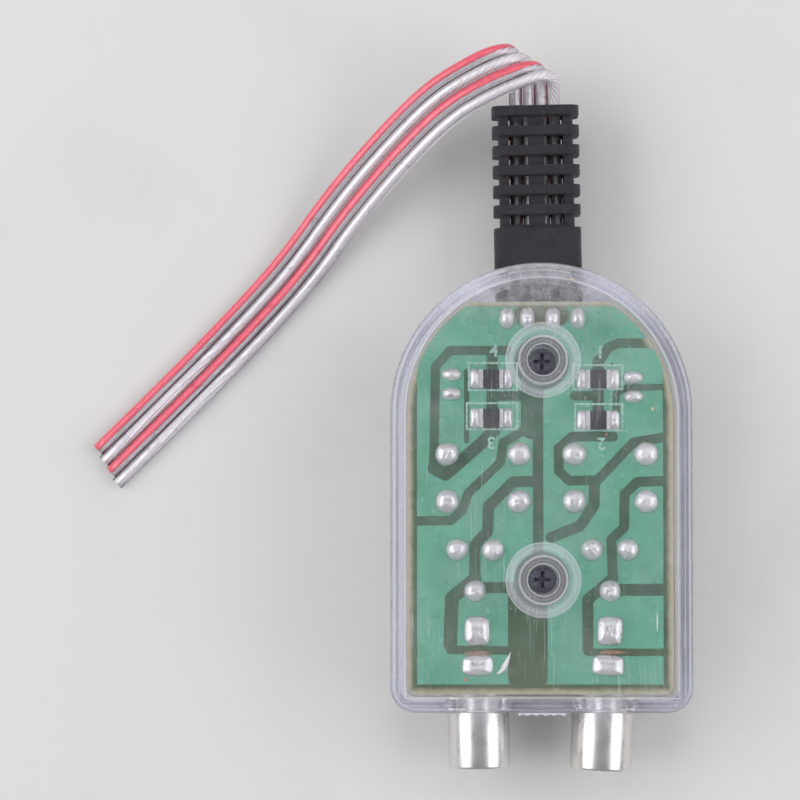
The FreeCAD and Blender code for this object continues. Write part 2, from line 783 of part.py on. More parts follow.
def chip_resistors(model):
    """Four chip resistors on the solder side, with tinned end caps."""
    caps = []
    for index, (side, level) in enumerate(((s, v) for s in SIDES for v in ("upper", "lower")), start=1):
        middle = (f"chip_{side}_x", f"chip_{side}_{level}_y")
        size = ("chip_length - 2 * chip_cap", "chip_width", "chip_height")
        chip = model.centred_box(f"chip_{index}", middle, size, "copper_top")
        model.keep(chip, f"resistor_{index}")
        for sign in ("-", "+"):
            cap_x = f"{middle[0]} {sign} (chip_length - chip_cap) / 2"
            cap_size = ("chip_cap", "chip_width", "chip_height")
            caps.append(model.centred_box(f"cap_{index}", (cap_x, middle[1]), cap_size, "copper_top"))
    model.keep(model.group("caps", caps), "resistor_terminals")


def transformer_pins(side):
    """Lists a transformer's four pin positions."""
    return [(f"transformer_{side}_x {a} transformer_pin_x", f"transformer_y {b} transformer_pin_y")
            for a in "-+" for b in "-+"]


def transformer(model, side):
    """An audio transformer: laminated core, bobbin, wound coil and four pins."""
    middle = (f"transformer_{side}_x", "transformer_y")
    low_z = "core_level - core_stack / 2"
    block = model.centred_box("core_block", middle, ("core_span", "core_breadth", "core_stack"), low_z)
    window = "(core_breadth - core_tongue) / 2 - core_leg"
    windows = []
    for sign in "-+":
        y = f"{middle[1]} {sign} (core_tongue / 2 + ({window}) / 2)"
        size = ("core_span - 2 * core_leg", window, "core_stack")
        windows.append(model.centred_box("core_window", (middle[0], y), size, low_z))
    core = model.cut("core", block, model.join("core_windows", windows))
    model.keep(core, f"transformer_{side}_core")

    hole_y, hole_z = "core_tongue + 2 * bobbin_gap", "core_stack + 2 * bobbin_gap"
    tube_size = ("2 * bobbin_half", f"{hole_y} + 2 * bobbin_wall", f"{hole_z} + 2 * bobbin_wall")
    tube = model.centred_box("tube", middle, tube_size, f"core_level - ({tube_size[2]}) / 2")
    parts = [tube]
    for sign in "-+":
        x = f"{middle[0]} {sign} (bobbin_half - bobbin_wall / 2)"
        size = ("bobbin_wall", "2 * (coil_half_y + flange_margin)", "2 * coil_half_z")
        parts.append(model.centred_box("flange", (x, middle[1]), size, "core_level - coil_half_z"))
        x = f"{middle[0]} {sign} transformer_pin_x"
        size = ("rail_width", "2 * (coil_half_y + flange_margin)", "rail_top - rail_level")
        parts.append(model.centred_box("rail", (x, middle[1]), size, "rail_level"))
    hole = model.centred_box("hole", middle, ("core_span", hole_y, hole_z), f"core_level - ({hole_z}) / 2")
    bobbin = model.cut("bobbin", model.join("spool", parts), hole)
    model.keep(bobbin, f"transformer_{side}_bobbin")

    coil = Moulding(model, f"transformer_{side}_winding")
    section = coil.sketch("YZ_Plane", "bobbin_wall - bobbin_half")
    section.rounded_rectangle("0", "0", "2 * coil_half_y", "2 * coil_half_z", "winding_round")
    section.rectangle("0", "0", tube_size[1], tube_size[2])
    coil.pad(section, "2 * (bobbin_half - bobbin_wall)")
    model.place(coil.body, middle[0], middle[1], "core_level")

    pin_size = ("pin_side", "pin_side", "board_top - rail_top")
    pins = [model.centred_box("pin", place, pin_size, "rail_top") for place in transformer_pins(side)]
    model.keep(model.group("pins", pins), f"transformer_{side}_pins")


def trimmer_pins(side):
    """Lists a trimmer's two track pins and its wiper pin."""
    x = f"trimmer_{side}_x"
    return [(f"{x} - trimmer_pin_x", "trimmer_y + trimmer_pin_y"),
            (f"{x} + trimmer_pin_x", "trimmer_y + trimmer_pin_y"),
            (x, "trimmer_y - trimmer_pin_y")]


def trimmer(model, side):
    """A trimmer potentiometer whose rotor faces the adjuster hole in the rear shell."""
    x, y = f"trimmer_{side}_x", "trimmer_y"
    base = Moulding(model, f"trimmer_{side}_base")
    outline = base.sketch(offset="trimmer_bottom")
    outline.arch("trimmer_radius", "0", "-trimmer_radius", "trimmer_corner")
    base.pad(outline, "trimmer_base_thickness")
    feet = base.sketch(offset="trimmer_top")
    for sign in "-+":
        feet.circle(f"{sign}(trimmer_radius - foot_radius - foot_inset)", "foot_offset", "foot_radius")
    base.pad(feet, "trimmer_standoff")
    bore = base.sketch(offset="trimmer_top")
    bore.circle("0", "0", "rotor_pin_radius + rotor_pin_gap")
    base.pocket(bore, "trimmer_base_thickness")
    model.place(base.body, x, y, "0", "180")

    rotor = Moulding(model, f"trimmer_{side}_rotor")
    rivet = "trimmer_top + wiper_gap"
    profile = rotor.sketch("XZ_Plane")
    profile.polygon((
        ("0", "rotor_top - rotor_height"),
        ("rotor_radius - rotor_chamfer", "rotor_top - rotor_height"),
        ("rotor_radius", "rotor_top - rotor_height + rotor_chamfer"),
        ("rotor_radius", "rotor_top"),
        ("rotor_pin_radius", "rotor_top"),
        ("rotor_pin_radius", rivet),
        ("rotor_rivet_radius", rivet),
        ("rotor_rivet_radius - rotor_rivet_chamfer", f"{rivet} + rotor_rivet_height"),
        ("0", f"{rivet} + rotor_rivet_height"),
    ))
    rotor.revolve(profile)
    slots = (("rotor_slot_width", "rotor_slot_span"), ("rotor_slot_span", "rotor_slot_width"))
    for width, length in slots:
        drive = rotor.sketch(offset="rotor_top - rotor_height")
        drive.rectangle("0", "0", width, length)
        rotor.pocket(drive, "rotor_slot_depth", reverse=True)
    model.place(rotor.body, x, y)

    wiper = Moulding(model, f"trimmer_{side}_wiper")
    plate = wiper.sketch(offset="rotor_top")
    plate.circle("0", "0", "wiper_radius")
    wiper.pad(plate, "wiper_thickness")
    arm = wiper.sketch(offset="rotor_top")
    arm.rectangle("wiper_arm_reach / 2", "0", "wiper_arm_reach", "wiper_arm_width")
    wiper.pad(arm, "wiper_thickness")
    eye = wiper.sketch(offset="wiper_top")
    eye.circle("0", "0", "rotor_pin_radius + rotor_pin_gap")
    wiper.pocket(eye, "wiper_thickness")
    model.place(wiper.body, x, y)

    pin_size = ("pin_side", "pin_side", "board_top - trimmer_top")
    pins = [model.centred_box("pin", place, pin_size, "trimmer_top") for place in trimmer_pins(side)]
    model.keep(model.group("pins", pins), f"trimmer_{side}_pins")


def capacitor_pins(side):
    """Lists a capacitor's two lead positions."""
    return [(f"capacitor_{side}_x", f"capacitor_{side}_y {sign} capacitor_lead_pitch / 2") for sign in "-+"]


def capacitor(model, side):
    """A sleeved electrolytic capacitor that hangs under the board."""
    can = Moulding(model, f"capacitor_{side}")
    profile = can.sketch("XZ_Plane")
    groove_z = "capacitor_top - capacitor_groove_height"
    profile.polygon((
        ("0", "capacitor_top - capacitor_height"),
        ("capacitor_radius - capacitor_round", "capacitor_top - capacitor_height"),
        ("capacitor_radius", "capacitor_top - capacitor_height + capacitor_round"),
        ("capacitor_radius", f"{groove_z} - capacitor_groove"),
        ("capacitor_radius - capacitor_groove", groove_z),
        ("capacitor_radius", f"{groove_z} + capacitor_groove"),
        ("capacitor_radius", "capacitor_top - capacitor_round"),
        ("capacitor_radius - capacitor_round", "capacitor_top"),
        ("0", "capacitor_top"),
    ))
    can.revolve(profile)
    model.place(can.body, f"capacitor_{side}_x", f"capacitor_{side}_y")
    lead_length = "board_top - capacitor_top"
    leads = [model.cylinder("lead", place, "capacitor_lead_radius", "capacitor_top", lead_length)
             for place in capacitor_pins(side)]
    model.keep(model.group("leads", leads), f"capacitor_{side}_leads")


# Phono jacks


def jack_turn(side):
    """Returns the angle by which a jack toes in: counter-clockwise on the left, clockwise on the right."""
    return "jack_left_toe" if side == "left" else "-jack_right_toe"


def jack_leg(side, depth):
    """Returns where a point on a jack's axis lies, at a depth behind the wall's outer face."""
    turn = jack_turn(side)
    return f"jack_{side}_x - ({depth}) * sin({turn} * 1deg)", f"lower_y + ({depth}) * cos({turn} * 1deg)"


def phono_jack(model, side):
    """A phono jack: plated sleeve with a collar behind the wall, insulator and centre contact."""
    reach = f"jack_{side}_reach"

    def settle(piece):
        """Puts a piece of the jack in its hole, at its own slight angle."""
        model.place(piece.body, f"jack_{side}_x", "lower_y", "jack_level", jack_turn(side))

    sleeve = Moulding(model, f"jack_{side}_sleeve")
    collar_y = "wall + collar_gap"
    profile = sleeve.sketch()
    profile.polygon((
        ("sleeve_bore", f"-{reach}"),
        ("sleeve_radius - sleeve_rim", f"-{reach}"),
        ("sleeve_radius - sleeve_rim / 4", f"-{reach} + sleeve_rim / 4"),
        ("sleeve_radius", f"-{reach} + sleeve_rim"),
        ("sleeve_radius", "-sleeve_stop"),
        ("neck_radius", "-sleeve_stop"),
        ("neck_radius", collar_y),
        ("collar_radius", collar_y),
        ("collar_radius", f"{collar_y} + collar_thickness"),
        ("neck_radius", f"{collar_y} + collar_thickness"),
        ("neck_radius", "barrel_depth"),
        ("sleeve_bore", "barrel_depth"),
    ))
    sleeve.revolve(profile)
    leg_foot = "(sleeve_bore + neck_radius) / 2"
    leg = sleeve.sketch(offset=leg_foot)
    leg.rectangle("0", "sleeve_leg_y", "sleeve_leg_width", "sleeve_leg_thickness")
    sleeve.pad(leg, f"board_top - jack_level - {leg_foot}")
    settle(sleeve)

    insulator = Moulding(model, f"jack_{side}_insulator")
    profile = insulator.sketch()
    profile.polygon((
        ("contact_radius + jack_fit_gap", f"insulator_inset - {reach}"),
        ("insulator_radius", f"insulator_inset - {reach}"),
        ("insulator_radius", "insulator_depth"),
        ("contact_radius + jack_fit_gap", "insulator_depth"),
    ))
    insulator.revolve(profile)
    settle(insulator)

    contact = Moulding(model, f"jack_{side}_contact")
    profile = contact.sketch()
    profile.polygon((
        ("contact_bore", f"contact_inset - {reach}"),
        ("contact_radius", f"contact_inset - {reach}"),
        ("contact_radius", "contact_depth"),
        ("0", "contact_depth"),
        ("0", "contact_depth - contact_end"),
        ("contact_bore", "contact_depth - contact_end"),
    ))
    contact.revolve(profile)
    tail = contact.sketch(offset="-contact_leg_thickness / 2")
    tail_start = "(contact_depth - contact_end / 2)"
    tail_length = f"(contact_leg_y + contact_leg_thickness / 2 - {tail_start})"
    tail.rectangle("0", f"{tail_start} + {tail_length} / 2", "contact_leg_width", tail_length)
    contact.pad(tail, "contact_leg_thickness")
    leg = contact.sketch(offset="-contact_leg_thickness / 2")
    leg.rectangle("0", "contact_leg_y", "contact_leg_width", "contact_leg_thickness")
    contact.pad(leg, "board_top - jack_level + contact_leg_thickness / 2")
    settle(contact)


# Strain relief and cable


def strain_relief(model):
    """The ribbed rubber boot: flange, neck, block and slotted rings, moulded in one piece.

    It is drawn with its origin at the top of the arch and +Y out of the case.
    """
    boot = Moulding(model, "strain_relief")
    # The plane's normal points to -Y, so an offset is the distance towards the case.
    root = boot.sketch("XZ_Plane", "relief_inner")
    root.rounded_rectangle("0", "0", "relief_width", "flange_height", "relief_round")
    boot.pad(root, "relief_inner - wall / 2", reverse=True)
    block = boot.sketch("XZ_Plane", "wall / 2")
    block.rounded_rectangle("0", "0", "relief_width", "relief_height", "relief_round")
    boot.pad(block, "block_length + wall / 2", reverse=True)
    # The groove that takes the case wall, about the centre of the arch
    groove = boot.sketch("XZ_Plane", "case_half")
    low, high = "inner_half - relief_gap", "case_half + relief_gap"
    tall = "flange_height"
    groove.polygon(((low, f"-{tall}"), (high, f"-{tall}"), (high, tall), (low, tall)))
    boot.revolve(groove, "Groove")
    neck = boot.sketch("XZ_Plane", "relief_inner")
    neck.rectangle("0", "0", "neck_width", "neck_height")
    boot.pad(neck, "relief_inner + block_length / 2", reverse=True)
    core = boot.sketch("XZ_Plane", "-block_length + core_rubber_root")
    core.rounded_rectangle("0", "0", "core_rubber_width", "core_rubber_height", "relief_round / 2")
    boot.pad(core, "relief_length - block_length + core_rubber_root", reverse=True)
    ring = boot.sketch("XZ_Plane", "-relief_length")
    ring.rounded_rectangle("0", "0", "relief_width", "relief_height", "relief_round")
    ring_pad = boot.pad(ring, "ring_thickness")
    boot.repeat(ring_pad, "Y_Axis", "ring_pitch", RING_COUNT, reverse=True)
    window = boot.sketch(offset="relief_height")
    first_gap = "relief_length - ring_thickness - (ring_pitch - ring_thickness) / 2"
    for sign in "-+":
        x = f"{sign} (window_bar + window_width) / 2"
        window.rectangle(x, first_gap, "window_width", "window_length")
    windows = boot.pocket(window, "2 * relief_height")
    boot.repeat(windows, "Y_Axis", "ring_pitch", RING_COUNT, reverse=True)
    passage = boot.sketch("XZ_Plane", "relief_inner + wall")
    passage.rectangle("0", "0", "cable_width", "cable_height")
    boot.pocket(passage, "relief_length + relief_inner + 2 * wall")
    model.place(boot.body, "0", "relief_y", "parting_height", "relief_lean")


def rounded_path(points):
    """Joins straight runs by tangent arcs, each as large as its two runs allow."""
    edges = []
    start = points[0]
    radii = []
    for before, corner, after in zip(points, points[1:], points[2:]):
        into, out = (corner - before), (after - corner)
        reach = ARC_SHARE * min(into.Length, out.Length)
        turn = into.getAngle(out)
        enter = corner - into.normalize() * reach
        leave = corner + out.normalize() * reach
        radius = reach / math.tan(turn / 2)
        middle = corner + (enter + leave - corner * 2).normalize() * (radius / math.cos(turn / 2) - radius)
        edges.append(Part.LineSegment(start, enter).toShape())
        edges.append(Part.Arc(enter, middle, leave).toShape())
        radii.append(radius)
        start = leave
    edges.append(Part.LineSegment(start, points[-1]).toShape())
    return Part.Wire(edges), radii


def tube(points, radius, name):
    """Sweeps a round section along a path and prints how tight its arcs are."""
    path, radii = rounded_path([Vector(point) for point in points])
    along = (Vector(points[1]) - Vector(points[0])).normalize()
    circle = Part.Wire(Part.Circle(Vector(points[0]), along, radius).toShape())
    solid = path.makePipeShell([circle], True, True)
    expected = math.pi * radius ** 2 * path.Length
    print(f"{name}: length {path.Length:.1f}, volume {solid.Volume / expected:.4f} of section times length,"
          f" radii {', '.join(f'{value:.1f}' for value in radii)}")
    return solid


def wire_offset(index, pitch):
    """Returns how far a conductor lies from the middle of the flat cable."""
    return (index - (len(LEAD_PADS) - 1) / 2) * pitch


def cable_points(index, pitch):
    """Returns the points of one conductor of the flat cable, counted from the left at the mouth."""
    middle = [Vector(point) for point in CABLE_ROUTE]
    points = []
    for position, place in enumerate(middle):
        if position in CABLE_FOLD_POINTS:
            shift = CABLE_FOLD_SHIFT
        else:
            around = middle[max(position - 1, 0):position + 2]
            runs = [end - start for start, end in zip(around, around[1:])]
            sides = [Vector(run.y, -run.x, 0).normalize() for run in runs]
            mean = sum(sides, Vector()).normalize()
            shift = mean / mean.dot(sides[0])
            if position > CABLE_FOLD_POINTS[-1]:
                # Past the fold the cable shows its other side.
                shift = shift * -1
        points.append(place + shift * wire_offset(index, pitch))
    return points


def cable(model):
    """The flat cable's four conductors outside the boot, and their leads inside it to the board."""
    number = model.number
    radius, pitch = number("wire_radius"), number("wire_pitch")
    lean = FreeCAD.Rotation(Vector(0, 0, 1), number("relief_lean"))
    arch_top = Vector(0, number("relief_y"), number("parting_height"))
    pad_y, below_board = number("lead_pad_y"), number("board_level")
    for index, pad in enumerate(LEAD_PADS):
        outside = model.doc.addObject("Part::Feature", "conductor")
        outside.Shape = tube(cable_points(index, pitch), radius, f"cable_wire_{index + 1}")
        model.keep(outside, f"cable_wire_{index + 1}")

        across = wire_offset(index, pitch)
        mouth = arch_top + lean.multVec(Vector(across, number("relief_length"), 0))
        inner_end = arch_top + lean.multVec(Vector(across, -number("relief_inner + lead_overhang"), 0))
        pad_x = number(pad)
        bend = Vector(pad_x, pad_y, inner_end.z - number("lead_bend_drop"))
        points = [mouth, inner_end, bend, Vector(pad_x, pad_y, below_board)]
        jacket = tube(points, radius, f"cable_lead_{index + 1}")
        root = number("strand_root")
        strand_foot = Vector(pad_x, pad_y, below_board - root)
        strand = Part.makeCylinder(number("strand_radius"), number("board_thickness") + root, strand_foot)
        inside = model.doc.addObject("Part::Feature", "lead")
        inside.Shape = jacket.fuse(strand)
        model.keep(inside, f"cable_lead_{index + 1}")


# Solder


def solder_joints(model):
    """One joint of solder over every leg, lead and chip end."""
    joints = []

    def round_joint(place, radius):
        """Adds a cone of solder round a pin."""
        cone = model.doc.addObject("Part::Cone", "joint")
        model.bind(cone, "Radius1", radius)
        model.bind(cone, "Radius2", f"{radius} * joint_top")
        model.bind(cone, "Height", "joint_height")
        model.place(cone, place[0], place[1], "copper_top")
        joints.append(cone)

    def oblong_joint(place, width, length, height):
        """Adds an oblong block of solder with sloping sides."""
        wedge = model.doc.addObject("Part::Wedge", "joint")
        # A wedge's Y runs from its wide face to its narrow one, so it is turned to stand on Z.
        half_x, half_y = f"({width}) / 2", f"({length}) / 2"
        limits = (("Xmin", f"-{half_x}"), ("Xmax", half_x), ("Ymin", "0"), ("Ymax", height),
                  ("Zmin", f"-{half_y}"), ("Zmax", half_y), ("X2min", f"-{half_x} * joint_top"),
                  ("X2max", f"{half_x} * joint_top"), ("Z2min", f"-{half_y} * joint_top"),
                  ("Z2max", f"{half_y} * joint_top"))
        for prop, text in limits:
            model.bind(wedge, prop, text)
        wedge.Placement = FreeCAD.Placement(Vector(), FreeCAD.Rotation(Vector(1, 0, 0), 90))
        for axis, text in zip("xyz", (place[0], place[1], "copper_top")):
            model.bind(wedge, f"Placement.Base.{axis}", text)
        joints.append(wedge)

    for side in SIDES:
        for place in transformer_pins(side):
            round_joint(place, "transformer_joint_radius")
        for place in trimmer_pins(side):
            round_joint(place, "trimmer_joint_radius")
        for place in capacitor_pins(side):
            oblong_joint(place, "capacitor_joint_width", "capacitor_joint_length", "joint_height")
        for leg in ("sleeve_leg_y", "contact_leg_y"):
            oblong_joint(jack_leg(side, leg), "jack_joint_width", "jack_joint_length", "joint_height")
        for level in ("upper", "lower"):
            for sign in "-+":
                x = f"chip_{side}_x {sign} (chip_length + chip_joint_width) / 2"
                place = (x, f"chip_{side}_{level}_y")
                oblong_joint(place, "chip_joint_width", "chip_joint_length", "chip_joint_height")
    for x in LEAD_PADS:
        oblong_joint((x, "lead_pad_y"), "lead_joint_width", "lead_joint_length", "joint_height")
    model.keep(model.group("joints", joints), "solder_joints")


def check(model):
    """Stops with a message if any object failed or any piece has no sound solid."""
    for item in model.doc.Objects:
        if "Invalid" in item.State or "Error" in item.State:
            raise RuntimeError(f"{item.Name} ({item.Label}) failed")
    for label, item in model.pieces.items():
        shape = item.Shape
        if shape.isNull() or not shape.isValid() or not shape.Solids:
            raise RuntimeError(f"{label} has no sound solid")
        print(f"{label}: {len(shape.Solids)} solid(s), {shape.Volume:.2f} cubic mm")


def main():
    """Builds every piece and writes one STEP file for each."""
    model = Model("line_output_converter")
    front_shell(model)
    rear_shell(model)
    for level in ("upper", "lower"):
        case_screw(model, level)
    circuit_board(model)
    copper_tracks(model)
    chip_resistors(model)
    for side in SIDES:
        transformer(model, side)
        trimmer(model, side)
        capacitor(model, side)
        phono_jack(model, side)
    strain_relief(model)
    cable(model)
    solder_joints(model)
    model.doc.recompute()
    check(model)
    os.makedirs("parts", exist_ok=True)
    for label, item in model.pieces.items():
        item.Shape.exportStep(f"parts/{label}.step")


main()
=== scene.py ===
"""Dresses the line output converter: finishes, solder, board print, case marks and the flat cable.

Every length is in metres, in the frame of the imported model: Z = 0 is the face that the case rests on,
+Y points to the cable and +Z out of the clear front face.
"""
import json
import logging
import math
import random
from dataclasses import dataclass
from enum import Enum
from functools import reduce
from typing import Callable, Optional, Sequence, Union

import bpy
from mathutils import Matrix, Vector, noise


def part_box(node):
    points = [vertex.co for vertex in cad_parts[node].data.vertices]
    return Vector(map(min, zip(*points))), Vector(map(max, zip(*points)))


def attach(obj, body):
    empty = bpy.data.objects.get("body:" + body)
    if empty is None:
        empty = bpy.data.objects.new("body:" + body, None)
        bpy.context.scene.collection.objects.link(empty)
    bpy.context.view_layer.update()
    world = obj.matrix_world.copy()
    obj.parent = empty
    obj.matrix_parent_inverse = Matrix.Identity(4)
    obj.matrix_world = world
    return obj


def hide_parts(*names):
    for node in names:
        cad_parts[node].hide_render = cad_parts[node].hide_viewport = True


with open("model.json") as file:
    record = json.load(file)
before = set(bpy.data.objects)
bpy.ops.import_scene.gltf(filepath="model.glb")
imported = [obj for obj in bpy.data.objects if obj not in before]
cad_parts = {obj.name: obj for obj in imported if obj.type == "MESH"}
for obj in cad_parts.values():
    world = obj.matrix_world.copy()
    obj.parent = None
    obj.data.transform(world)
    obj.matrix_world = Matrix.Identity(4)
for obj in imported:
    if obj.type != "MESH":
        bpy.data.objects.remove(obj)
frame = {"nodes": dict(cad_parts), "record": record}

LOG = logging.getLogger("scene")

Colour = tuple[float, float, float]
Point = tuple[float, float, float]
Section = list[tuple[float, float]]
Socket = bpy.types.NodeSocket
Value = Union[Socket, float]
Material = bpy.types.Material

MM = 0.001
SIDES = ("left", "right")


def mm(*lengths: float) -> tuple[float, ...]:
    """Turns lengths in millimetres into metres."""
    return tuple(length * MM for length in lengths)


def tone(*screen: int) -> Colour:
    """Turns a colour given in screen values from 0 to 255 into linear light."""
    shares = [value / 255 for value in screen]
    return tuple(share / 12.92 if share <= 0.04045 else ((share + 0.055) / 1.055) ** 2.4 for share in shares)


class Grain(Enum):
    """How a surface's second colour and relief are laid out."""

    MOTTLED = "mottled"
    SPECKLED = "speckled"
    BRUSHED = "brushed"
    LAMINATED = "laminated"


class Shader:
    """A material's node tree, built one node at a time. MIX and MIXED number a Mix node's colour sockets."""

    MIX = (0, 6, 7)
    MIXED = 2

    def __init__(self, name: str) -> None:
        """Starts an empty material of this name."""
        self.material = bpy.data.materials.new(name)
        self.material.use_nodes = True
        self.tree = self.material.node_tree
        self.tree.nodes.clear()
        self.place = self.add("TexCoord").outputs["Object"]

    def add(self, kind: str, sockets: Optional[dict] = None, **settings) -> bpy.types.Node:
        """Adds a node.

        Args:
            kind: The node's type without its ShaderNode prefix.
            sockets: Values, or sockets to link from, by input name or number.
            settings: The node's own properties.

        Returns:
            The node.
        """
        node = self.tree.nodes.new(f"ShaderNode{kind}")
        for name, value in settings.items():
            setattr(node, name, value)
        for name, value in (sockets or {}).items():
            socket = node.inputs[name]
            if isinstance(value, Socket):
                self.tree.links.new(value, socket)
            else:
                socket.default_value = (*value, 1.0) if socket.type == "RGBA" else value
        return node

    def math(self, operation: str, *values: Value) -> Socket:
        """Adds a Math node and returns its output."""
        return self.add("Math", dict(enumerate(values)), operation=operation).outputs[0]

    def plus(self, *values: Value) -> Socket:
        """Returns the sum of some values, added in this order."""
        return reduce(lambda total, value: self.math("ADD", total, value), values)

    def minus(self, first: Value, second: Value) -> Socket:
        """Returns the difference of two values."""
        return self.math("SUBTRACT", first, second)

    def times(self, first: Value, second: Value) -> Socket:
        """Returns the product of two values."""
        return self.math("MULTIPLY", first, second)

    def distance(self, aside: Socket, rise: Socket) -> Socket:
        """Returns the length of a line that reaches so far to the side and up."""
        return self.math("SQRT", self.plus(self.times(aside, aside), self.times(rise, rise)))

    def axes(self) -> bpy.types.bpy_prop_collection:
        """Returns the object's coordinates as the outputs X, Y and Z."""
        return self.add("SeparateXYZ", {0: self.place}).outputs

    def scaled(self, scale: Point) -> Socket:
        """Returns the object's coordinates, scaled along each axis."""
        return self.add("Mapping", {"Vector": self.place, "Scale": scale}).outputs["Vector"]

    def noise(self, scale: float, detail: float = 3.0, place: Optional[Socket] = None) -> Socket:
        """Returns the value of a noise texture, at the object's own coordinates or at others."""
        sockets = {"Vector": place or self.place, "Scale": scale, "Detail": detail}
        return self.add("TexNoise", sockets).outputs["Fac"]

    def between(self, value: Value, low: float, high: float, start: float = 0.0, end: float = 1.0) -> Socket:
        """Maps a value from low and high to start and end, and holds it there."""
        sockets = {"Value": value, "From Min": low, "From Max": high, "To Min": start, "To Max": end}
        return self.add("MapRange", sockets).outputs["Result"]

    def band(self, value: Socket, middle: float, half: float, share: float) -> Socket:
        """Returns a share that is full where a value meets the middle, and nothing at the half width."""
        return self.between(self.math("ABSOLUTE", self.minus(value, middle)), 0.0, half, share, 0.0)

    def blend(self, factor: Socket, first: Union[Socket, Colour], second: Union[Socket, Colour]) -> Socket:
        """Mixes two colours by a factor and returns the mixed colour."""
        sockets = dict(zip(self.MIX, (factor, first, second)))
        return self.add("Mix", sockets, data_type="RGBA").outputs[self.MIXED]

    def bump(self, height: Socket, distance: float, strength: float = 1.0) -> Socket:
        """Returns the normal of a relief of this height."""
        sockets = {"Height": height, "Distance": distance, "Strength": strength}
        return self.add("Bump", sockets).outputs["Normal"]

    def surface(self, shader: Socket) -> Material:
        """Makes a shader the material's surface and returns the material."""
        self.add("OutputMaterial", {"Surface": shader})
        return self.material


@dataclass(frozen=True)
class Finish:
    """An opaque surface, in two colours of screen values that a grain lays out."""

    base: tuple[int, int, int]
    shade: tuple[int, int, int]
    rough: tuple[float, float] = (0.4, 0.6)
    grain: Grain = Grain.MOTTLED
    scale: float = 900.0
    cover: float = 0.55
    relief: float = 0.01 * MM
    metallic: float = 0.0
    coat: float = 0.0
    specular: float = 0.5
    sheen: float = 0.0

    def material(self, name: str) -> Material:
        """Builds the material of an opaque surface.

        Args:
            name: The material's name.

        Returns:
            The material.
        """
        stretch, clouding, fineness, fade = 18.0, 6.0, 3.0, 0.18
        shader = Shader(name)
        if self.grain is Grain.SPECKLED:
            cells = shader.add("TexVoronoi", {"Vector": shader.place, "Scale": self.scale})
            pattern = shader.math("MAXIMUM", shader.minus(1.0, cells.outputs["Distance"]), 0.0)
        elif self.grain is Grain.BRUSHED:
            pattern = shader.noise(1.0, 4.0, shader.scaled((self.scale, self.scale / stretch, self.scale)))
        elif self.grain is Grain.LAMINATED:
            bands = {"Vector": shader.place, "Scale": self.scale, "Distortion": 0.6, "Detail": 2.0}
            pattern = shader.add("TexWave", bands, bands_direction="Z").outputs["Fac"]
        else:
            pattern = shader.noise(self.scale)
        factor = shader.between(pattern, self.cover, min(self.cover + fade, 1.0))
        clouds = shader.noise(self.scale / clouding, 2.0)
        fine = shader.plus(pattern, shader.noise(self.scale * fineness, 2.0))
        principled = shader.add("BsdfPrincipled", {
            "Base Color": shader.blend(factor, tone(*self.base), tone(*self.shade)),
            "Roughness": shader.between(clouds, 0.3, 0.7, *self.rough),
            "Metallic": self.metallic,
            "Coat Weight": self.coat,
            "Coat Roughness": 0.12,
            "Specular IOR Level": self.specular,
            "Sheen Weight": self.sheen,
            "Normal": shader.bump(fine, self.relief),
        })
        return shader.surface(principled.outputs["BSDF"])


@dataclass(frozen=True)
class Outline:
    """An outline with a round arch and a straight lower edge."""

    half: float
    arch_y: float
    low_y: float

    def inset(self, shader: Shader) -> Socket:
        """Builds how far a point lies inside it.

        Args:
            shader: The material's tree.

        Returns:
            The socket with the distance.
        """
        axes = shader.axes()
        rise = shader.math("MAXIMUM", shader.minus(axes["Y"], self.arch_y), 0.0)
        side = shader.minus(self.half, shader.distance(axes["X"], rise))
        return shader.math("MINIMUM", side, shader.minus(axes["Y"], self.low_y))


